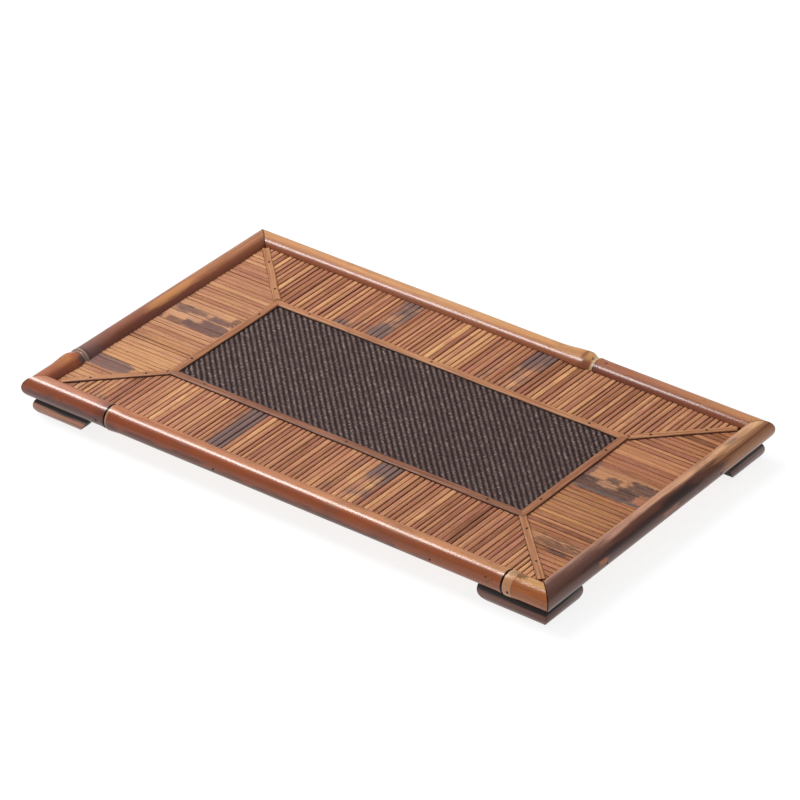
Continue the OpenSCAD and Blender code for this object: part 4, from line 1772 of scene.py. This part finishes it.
@dataclass(frozen=True)
class SoftLight:
    """One soft box."""

    name: str
    place: Point
    aim: Point
    size: tuple[float, float]
    power: float
    reach: Reach

    def build(self) -> None:
        """Hangs the soft box with its long side along X."""
        data = bpy.data.lights.new(self.name, "AREA")
        data.shape = "RECTANGLE"
        data.size, data.size_y = self.size
        data.energy = self.power
        lamp = bpy.data.objects.new(self.name, data)
        bpy.context.scene.collection.objects.link(lamp)
        back = (Vector(self.place) - Vector(self.aim)).normalized()
        up = back.cross(Vector((1, 0, 0))).normalized()
        turned = Matrix((up.cross(back), up, back)).transposed().to_4x4()
        lamp.matrix_world = Matrix.Translation(self.place) @ turned
        lamp.visible_diffuse = self.reach is Reach.DIFFUSE
        lamp.visible_glossy = self.reach is Reach.GLOSS


@dataclass
class Studio:
    """Camera, pale floor and soft light."""

    camera_place: Point = (1.70366, -2.2216, 1.77555)
    camera_right: Point = (0.79646, 0.60466, -0.00585)
    camera_up: Point = (-0.31601, 0.42447, 0.84851)
    lens: float = 202.27
    floor_half: float = 6.0
    floor_gap: float = 0.0002
    floor_tone: float = 0.22
    floor_glow: float = 0.83
    sky: float = 0.56
    sky_gloss: float = 0.26
    lights: tuple[SoftLight, ...] = (
        SoftLight("long_strip_light", (-0.475, -0.165, 0.55), (-0.475, -0.165, 0.0),
                  (0.75, 0.17), 6.4, Reach.GLOSS),
        SoftLight("high_soft_box", (-1.3, 0.1, 1.8), (0.0, 0.0, 0.0), (1.5, 1.5), 50.0,
                  Reach.DIFFUSE),
    )

    def shoot(self) -> None:
        """Places the camera."""
        data = bpy.data.cameras.new("camera")
        data.lens = self.lens
        data.sensor_width = 36.0
        data.clip_start = 0.1
        data.clip_end = 50.0
        camera = bpy.data.objects.new("camera", data)
        bpy.context.scene.collection.objects.link(camera)
        right, up = Vector(self.camera_right).normalized(), Vector(self.camera_up).normalized()
        turned = Matrix((right, up, right.cross(up))).transposed().to_4x4()
        camera.matrix_world = Matrix.Translation(self.camera_place) @ turned
        bpy.context.scene.camera = camera

    def floor(self) -> None:
        """Lays the floor."""
        mesh = bmesh.new()
        bmesh.ops.create_grid(mesh, x_segments=1, y_segments=1, size=self.floor_half,
                              matrix=Matrix.Translation((0, 0, -self.floor_gap)))
        data = bpy.data.meshes.new("floor")
        mesh.to_mesh(data)
        mesh.free()
        paint = bpy.data.materials.new("floor paper")
        paint.use_nodes = True
        graph = Graph(paint.node_tree)
        shader = paint.node_tree.nodes["Principled BSDF"]
        mirrored = graph.node("ShaderNodeLightPath").outputs["Is Glossy Ray"]
        pale, dim = (self.floor_tone,) * 3 + (1.0,), (self.floor_tone * 0.6,) * 3 + (1.0,)
        graph.feed(shader.inputs["Base Color"], graph.mix(mirrored, pale, dim))
        graph.feed(shader.inputs["Emission Strength"],
                   graph.math("MULTIPLY_ADD", mirrored, -0.4 * self.floor_glow,
                              self.floor_glow))
        below = graph.node("ShaderNodeNewGeometry").outputs["Backfacing"]
        graph.feed(shader.inputs["Alpha"], graph.math("SUBTRACT", 1.0, below))
        shader.inputs["Roughness"].default_value = 0.9
        shader.inputs["Emission Color"].default_value = (1.0, 1.0, 1.0, 1.0)
        data.materials.append(paint)
        floor = bpy.data.objects.new("floor", data)
        bpy.context.scene.collection.objects.link(floor)

    def light(self) -> None:
        """Sets the sky and hangs the soft boxes."""
        world = bpy.data.worlds.new("studio")
        bpy.context.scene.world = world
        world.use_nodes = True
        graph = Graph(world.node_tree)
        sky = world.node_tree.nodes["Background"]
        path = graph.node("ShaderNodeLightPath").outputs
        mirrored = graph.math("MULTIPLY_ADD", path["Is Glossy Ray"], self.sky_gloss - self.sky,
                              self.sky)
        strength = graph.math("MAXIMUM", path["Is Camera Ray"], mirrored)
        sky.inputs["Color"].default_value = (1.0, 1.0, 1.0, 1.0)
        graph.feed(sky.inputs["Strength"], strength)
        for soft_box in self.lights:
            soft_box.build()

    def build(self) -> None:
        """Builds the studio."""
        bpy.context.scene.view_settings.view_transform = "Standard"
        self.shoot()
        self.floor()
        self.light()
        LOG.info("studio: %d soft boxes", len(self.lights))


def make_rails() -> list[Rail]:
    """The four rails with their nodes and finishes.

    Returns:
        Front, back, left and right rail.
    """
    half, side = SIZES.length / 2, SIZES.width / 2
    # In each culm's finish the colour after the dark streak colour is the under colour, painted
    # shade on the side that the light misses.
    black, pale = colour(16, 13, 15), colour(206, 160, 118)
    first, second = 80 - half, half - 40.5
    front = CulmFinish(
        "front culm",
        ((-half, colour(194, 134, 104)), (first - 14, colour(186, 124, 98)),
         (first - 2, colour(136, 88, 76)), (first + 2, colour(190, 122, 84)),
         (-60.0, colour(192, 128, 90)), (60.0, colour(198, 134, 92)),
         (second - 2, colour(200, 140, 94)), (second + 2, colour(222, 170, 112)),
         (half, colour(214, 158, 96))),
        0.3, colour(104, 54, 34), colour(192, 144, 108), 0.5,
        # The narrow pale band beside the first ring is a painted highlight on the node's lip; the
        # wide one beside the second is a pale collar with a painted highlight in it.
        (Band(first + 1.6, 0.8, 0.5, pale, 0.5), Band(first, 0.9, 0.2, black),
         Band(second + 4.5, 3.6, 0.6, pale, 0.45),
         Band(second + 8.6, 0.5, 0.4, colour(120, 62, 36), 0.4), Band(second, 0.9, 0.2, black)),
        (Patch((-196.0, -8.0, -4.0), (46.0, 7.0, 6.0), colour(76, 48, 48), 0.75, 1.6),
         Patch((30.0, -8.5, -4.0), (90.0, 4.0, 3.4), colour(62, 34, 28), 0.7, 2.6,
               grain=(0.05, 0.4, 0.4)),
         Patch((-110.0, -8.5, -3.0), (44.0, 4.0, 3.4), colour(64, 36, 30), 0.65, 2.6,
               grain=(0.05, 0.4, 0.4)),
         Patch((186.0, -8.6, 3.0), (0.9, 0.7, 0.7), black, 0.7),
         Patch((189.0, -8.9, 1.6), (0.7, 0.6, 0.6), black, 0.7),
         Patch((191.5, -8.8, 2.8), (0.9, 0.6, 0.6), black, 0.7),
         Patch((187.5, -9.1, 0.0), (0.8, 0.6, 0.6), black, 0.6),
         Patch((208.0, 2.0, 9.0), (7.0, 4.0, 3.0), colour(92, 58, 36), 0.75, 3.2,
               grain=(0.5, 0.5, 0.5))))
    node = half - 152.0
    back = CulmFinish(
        "back culm",
        ((-half, colour(198, 140, 92)), (-60.0, colour(212, 158, 108)),
         (node - 14, colour(208, 150, 94)), (node - 2, colour(212, 164, 106)),
         (node + 2, colour(166, 104, 76)), (node + 50, colour(172, 112, 80)),
         (half, colour(200, 142, 92))),
        0.25, colour(130, 76, 44), colour(180, 140, 130), -0.5,
        (Band(node - 10.5, 1.6, 1.0, colour(126, 66, 36), 0.75),
         Band(node - 1.6, 1.2, 0.5, colour(206, 172, 134), 0.8),
         Band(node + 0.3, 0.7, 0.3, colour(40, 26, 24), 0.95)),
        (Patch((node - 2.5, 1.0, 9.5), (2.4, 1.2, 2.0), black, 0.7, 2.0),
         Patch((node + 8.0, 1.0, 9.0), (1.0, 1.0, 1.0), black, 0.7)))
    node = side - 55.0
    left = CulmFinish(
        "left culm",
        ((-side, colour(176, 120, 86)), (-60.0, colour(176, 118, 82)),
         (0.0, colour(146, 94, 72)), (40.0, colour(142, 88, 68)),
         (node - 14, colour(134, 94, 84)), (node - 3, colour(118, 90, 84)),
         (node + 4, colour(176, 92, 58)), (node + 14, colour(192, 122, 66)),
         (node + 28, colour(172, 102, 68)), (side, colour(164, 96, 70))),
        0.3, colour(116, 62, 38), colour(196, 160, 140), -0.5,
        (Band(node - 3.4, 0.7, 0.6, colour(56, 46, 46), 0.8),
         Band(node - 0.2, 1.6, 1.2, colour(176, 150, 136), 0.7),
         Band(node + 2.2, 0.8, 0.7, colour(70, 52, 48), 0.7)),
        (Patch((node + 2.5, 7.5, 3.5), (5.0, 3.4, 6.0), colour(64, 48, 48), 0.9, 1.2, 0.4),
         Patch((node - 8.0, 5.5, 5.0), (10.0, 4.4, 6.0), colour(104, 76, 74), 0.6, 1.2, 0.5),
         Patch((-20.0, 2.0, 8.0), (26.0, 3.0, 4.0), colour(214, 148, 84), 0.5, 2.4, 0.5,
               (0.04, 0.3, 0.3))))
    right = CulmFinish(
        "right culm",
        ((-side, colour(176, 134, 118)), (-80.0, colour(178, 134, 116)),
         (-30.0, colour(200, 150, 124)), (40.0, colour(218, 164, 126)),
         (side, colour(240, 188, 140))),
        0.5, colour(116, 70, 44), colour(196, 152, 120), 0.5,
        (),
        # The first three patches darken the outer side of the culm all along: painted shade on the
        # side turned from the light.
        (Patch((100.0, -12.0, 0.0), (62.0, 9.4, 16.0), colour(150, 98, 60), 0.8, 1.6, 0.25,
               (0.02, 0.35, 0.35)),
         Patch((0.0, -13.0, 0.0), (78.0, 11.6, 16.0), colour(84, 44, 32), 0.93, 0.8, 0.12,
               (0.02, 0.3, 0.3)),
         Patch((-106.0, -12.0, 0.0), (52.0, 13.4, 16.0), colour(90, 54, 44), 0.9, 0.9, 0.16,
               (0.02, 0.3, 0.3)),
         Patch((22.0, -7.0, 5.5), (22.0, 3.4, 3.0), colour(46, 26, 22), 0.9, 1.6, 0.4,
               (0.04, 0.3, 0.3)),
         Patch((-40.0, -7.6, 4.5), (60.0, 1.6, 2.0), colour(48, 26, 22), 0.8, 2.6, 0.5,
               (0.03, 0.4, 0.4)),
         Patch((92.0, -6.4, 6.4), (50.0, 0.8, 1.2), colour(92, 52, 30), 0.75, 2.4, 0.5,
               (0.03, 0.4, 0.4)),
         Patch((98.0, 0.5, 9.0), (6.0, 1.8, 2.5), colour(124, 98, 90), 0.7, 1.4, 0.4),
         Patch((-76.0, -8.8, 2.0), (5.0, 1.4, 1.8), colour(176, 98, 48), 0.7, 2.2, 0.4,
               (0.2, 0.4, 0.4)),
         Patch((8.0, -9.0, 1.0), (9.0, 1.2, 1.6), colour(168, 100, 62), 0.6, 2.2, 0.4,
               (0.1, 0.3, 0.3))))

    def small(at: float) -> CulmNode:
        """A small node of the front rail."""
        return CulmNode(at, -1, SIZES.small_swell, 13.0, 0.0, 2.0)

    return [
        Rail("front_rail", Bearing.FRONT, SIZES.length, -1, (small(first), small(second)), front,
             "rail_front", open_end=0.55),
        Rail("back_rail", Bearing.BACK, SIZES.length, -1,
             (CulmNode(half - 152.0, 1, 2.0, 34.0, 0.9, 9.0, crisp=1.5),), back, "rail_back"),
        Rail("left_rail", Bearing.LEFT, SIZES.width, -1,
             (CulmNode(side - 55.0, -1, 1.1, 18.0, 0.9, 9.0),), left, "rail_left"),
        Rail("right_rail", Bearing.RIGHT, SIZES.width, -1, (), right, "rail_right",
             open_start=0.45),
    ]


def make_panels() -> list[SlatPanel]:
    """The four panels of slats with their soot.

    Returns:
        Front, back, left and right panel.
    """
    rosy = ((0.0, colour(122, 71, 49)), (0.3, colour(157, 101, 70)), (0.65, colour(184, 128, 91)),
            (1.0, colour(210, 157, 106)))
    golden = ((0.0, colour(136, 84, 56)), (0.4, colour(170, 118, 84)),
              (0.8, colour(186, 134, 94)), (1.0, colour(202, 152, 106)))
    ruddy = ((0.0, colour(104, 56, 34)), (0.4, colour(147, 91, 56)), (0.8, colour(180, 121, 76)),
             (1.0, colour(204, 148, 96)))
    soot, plum, tan = colour(90, 66, 66), colour(94, 66, 66), colour(190, 140, 104)
    dusk, line, grain = colour(76, 54, 53), colour(74, 42, 34), (0.07, 0.3, 0.3)
    gold, red = colour(206, 152, 94), colour(170, 108, 84)
    left_patches = (
        Patch((-188.0, -66.0, 25.0), (30.0, 16.0, 9.0), gold, 0.4, 1.4, 0.5, grain),
        Patch((-185.0, -34.0, 25.0), (22.0, 7.0, 9.0), gold, 0.35, 1.4, 0.5, grain),
        Patch((-205.0, 82.0, 25.0), (40.0, 22.0, 9.0), red, 0.4, 1.2, 0.5, grain),
        Patch((-195.0, 6.0, 25.0), (34.0, 19.0, 9.0), tan, 0.55, 0.3, 0.1, grain),
        Patch((-206.5, 15.0, 25.0), (15.5, 5.6, 9.0), soot, 0.85, 1.8, 0.35, (0.12, 0.5, 0.3)),
        Patch((-178.0, 15.0, 25.0), (10.0, 3.6, 9.0), colour(80, 58, 66), 0.85, 2.0, 0.35,
              (0.12, 0.5, 0.3)),
        Patch((-183.0, 2.6, 25.0), (19.5, 8.0, 9.0), plum, 0.95, 0.35, 0.06, grain),
        Patch((-198.0, 8.6, 25.0), (9.0, 4.6, 9.0), tan, 0.8, 2.0, 0.3, (0.16, 0.5, 0.3)),
        Patch((-207.5, -2.4, 25.0), (8.5, 3.4, 9.0), colour(106, 72, 62), 0.85, 1.2, 0.2, grain),
        Patch((-223.0, -3.4, 25.0), (3.6, 2.4, 9.0), soot, 0.8, 1.2, 0.3, grain),
        Patch((-168.0, 20.0, 25.0), (3.2, 6.6, 9.0), line, 0.7, 4.0, 0.2, (0.8, 0.5, 0.3)),
        Patch((-209.0, 10.0, 25.0), (19.0, 0.5, 9.0), line, 0.8, 0.6, 0.4, grain),
        Patch((-195.0, -5.6, 25.0), (34.0, 0.5, 9.0), line, 0.8, 0.6, 0.4, grain),
        Patch((-195.0, -9.0, 25.0), (34.0, 0.4, 9.0), colour(120, 68, 44), 0.6, 0.6, 0.4, grain),
        Patch((-213.0, -80.3, 25.0), (26.0, 7.8, 9.0), colour(102, 76, 74), 0.93, 0.4, 0.07, grain),
        Patch((-205.0, -72.8, 25.0), (26.0, 0.5, 9.0), line, 0.7, 0.6, 0.4, grain))
    blush = colour(172, 112, 82)
    right_patches = (
        Patch((188.0, 50.0, 25.0), (34.0, 24.0, 9.0), red, 0.4, 1.4, 0.5, grain),
        Patch((186.0, -35.0, 25.0), (30.0, 18.0, 9.0), gold, 0.25, 1.4, 0.5, grain),
        Patch((190.0, 14.0, 25.0), (34.0, 10.0, 9.0), tan, 0.5, 0.3, 0.1, grain),
        Patch((164.5, 10.0, 25.0), (3.6, 15.0, 9.0), soot, 0.8, 1.2, 0.3, grain),
        Patch((211.0, 13.6, 25.0), (11.0, 6.6, 9.0), dusk, 0.9, 2.2, 0.25, (0.2, 0.4, 0.3)),
        Patch((187.5, 11.4, 25.0), (6.4, 3.4, 9.0), dusk, 0.85, 2.0, 0.25, (0.2, 0.4, 0.3)),
        Patch((191.5, -0.2, 25.0), (36.0, 8.4, 9.0), dusk, 0.95, 0.4, 0.06, grain),
        Patch((186.5, 5.0, 25.0), (8.0, 3.4, 9.0), tan, 0.7, 2.4, 0.3, (0.2, 0.5, 0.3)),
        Patch((217.0, 1.0, 25.0), (4.6, 6.0, 9.0), blush, 0.8, 1.8, 0.3, (0.2, 0.5, 0.3)),
        Patch((192.0, -6.4, 25.0), (34.0, 1.6, 9.0), colour(92, 84, 88), 0.6, 1.6, 0.4, grain),
        Patch((203.0, -79.5, 25.0), (25.0, 6.0, 9.0), tan, 0.5, 0.6, 0.2, grain),
        Patch((203.0, -80.0, 25.0), (24.0, 4.6, 9.0), line, 0.75, 6.0, 0.2, (0.1, 1.2, 0.3)),
        Patch((200.0, -73.4, 25.0), (22.0, 0.6, 9.0), line, 0.85, 0.8, 0.4, grain),
        Patch((202.0, -85.4, 25.0), (20.0, 0.6, 9.0), line, 0.85, 0.8, 0.4, grain),
        Patch((208.0, -88.0, 25.0), (9.0, 1.8, 9.0), dusk, 0.8, 1.2, 0.3, grain))
    long_finish = SlatFinish("long slats", rosy)
    # After the patches come the colour of the painted shade in the grooves and its least share on a
    # slat.
    left_finish = SlatFinish("left slats", golden, left_patches, colour(104, 56, 32), 0.1, 0.3)
    right_finish = SlatFinish("right slats", ruddy, right_patches, colour(62, 26, 14), 0.55, 0.45)
    front = (Soot(-84, -79, ((-125, 0.35), (-64, 0.45))), Soot(-79, -65, ((-125, 0.8), (-64, 0.9))),
             Soot(41, 58, ((-125, 0.4), (-95, 0.45), (-85, 0.8), (-64, 0.95))),
             Soot(22, 32, ((-125, 0.3), (-64, 0.25))),
             Soot(-212, -178, ((-125, 0.38), (-108, 0.3), (-92, 0.1))))
    back = (Soot(-84, -79, ((66, 0.4), (127, 0.5))), Soot(-79, -65, ((66, 0.85), (98, 0.6),
                                                                     (127, 0.85))),
            Soot(-112, -88, ((66, 0.6), (90, 0.35), (105, 0.0), (127, 0.0))),
            Soot(41, 58, ((66, 0.5), (98, 0.45), (106, 0.85), (127, 1.0))),
            Soot(22, 32, ((66, 0.4), (127, 0.25))))
    return [
        SlatPanel("front_slats", Bearing.FRONT, long_finish, "slats_long", front),
        SlatPanel("back_slats", Bearing.BACK, long_finish, "slats_long", back),
        SlatPanel("left_slats", Bearing.LEFT, left_finish, "slats_end", round_off=0.6,
                  shrink=0.25, drop=0.25),
        SlatPanel("right_slats", Bearing.RIGHT, right_finish, "slats_end", round_off=0.65,
                  shrink=0.3, drop=0.25),
    ]


def main() -> None:
    """Builds the studio and the tray."""
    logging.basicConfig(level=logging.INFO, format="%(name)s %(message)s")
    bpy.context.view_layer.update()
    Studio().build()
    rails = make_rails()
    for rail in rails:
        rail.build()
    for panel in make_panels():
        panel.build()
    WovenMat().build()
    StripWork().build()
    NailWork().build(rails)
    FeetWork().build()
    Shop.keep("base_board", BoardFinish().make())
    Shop.keep("foot_nails", FINISHES.nail)


if __name__ == "__main__":
    main()
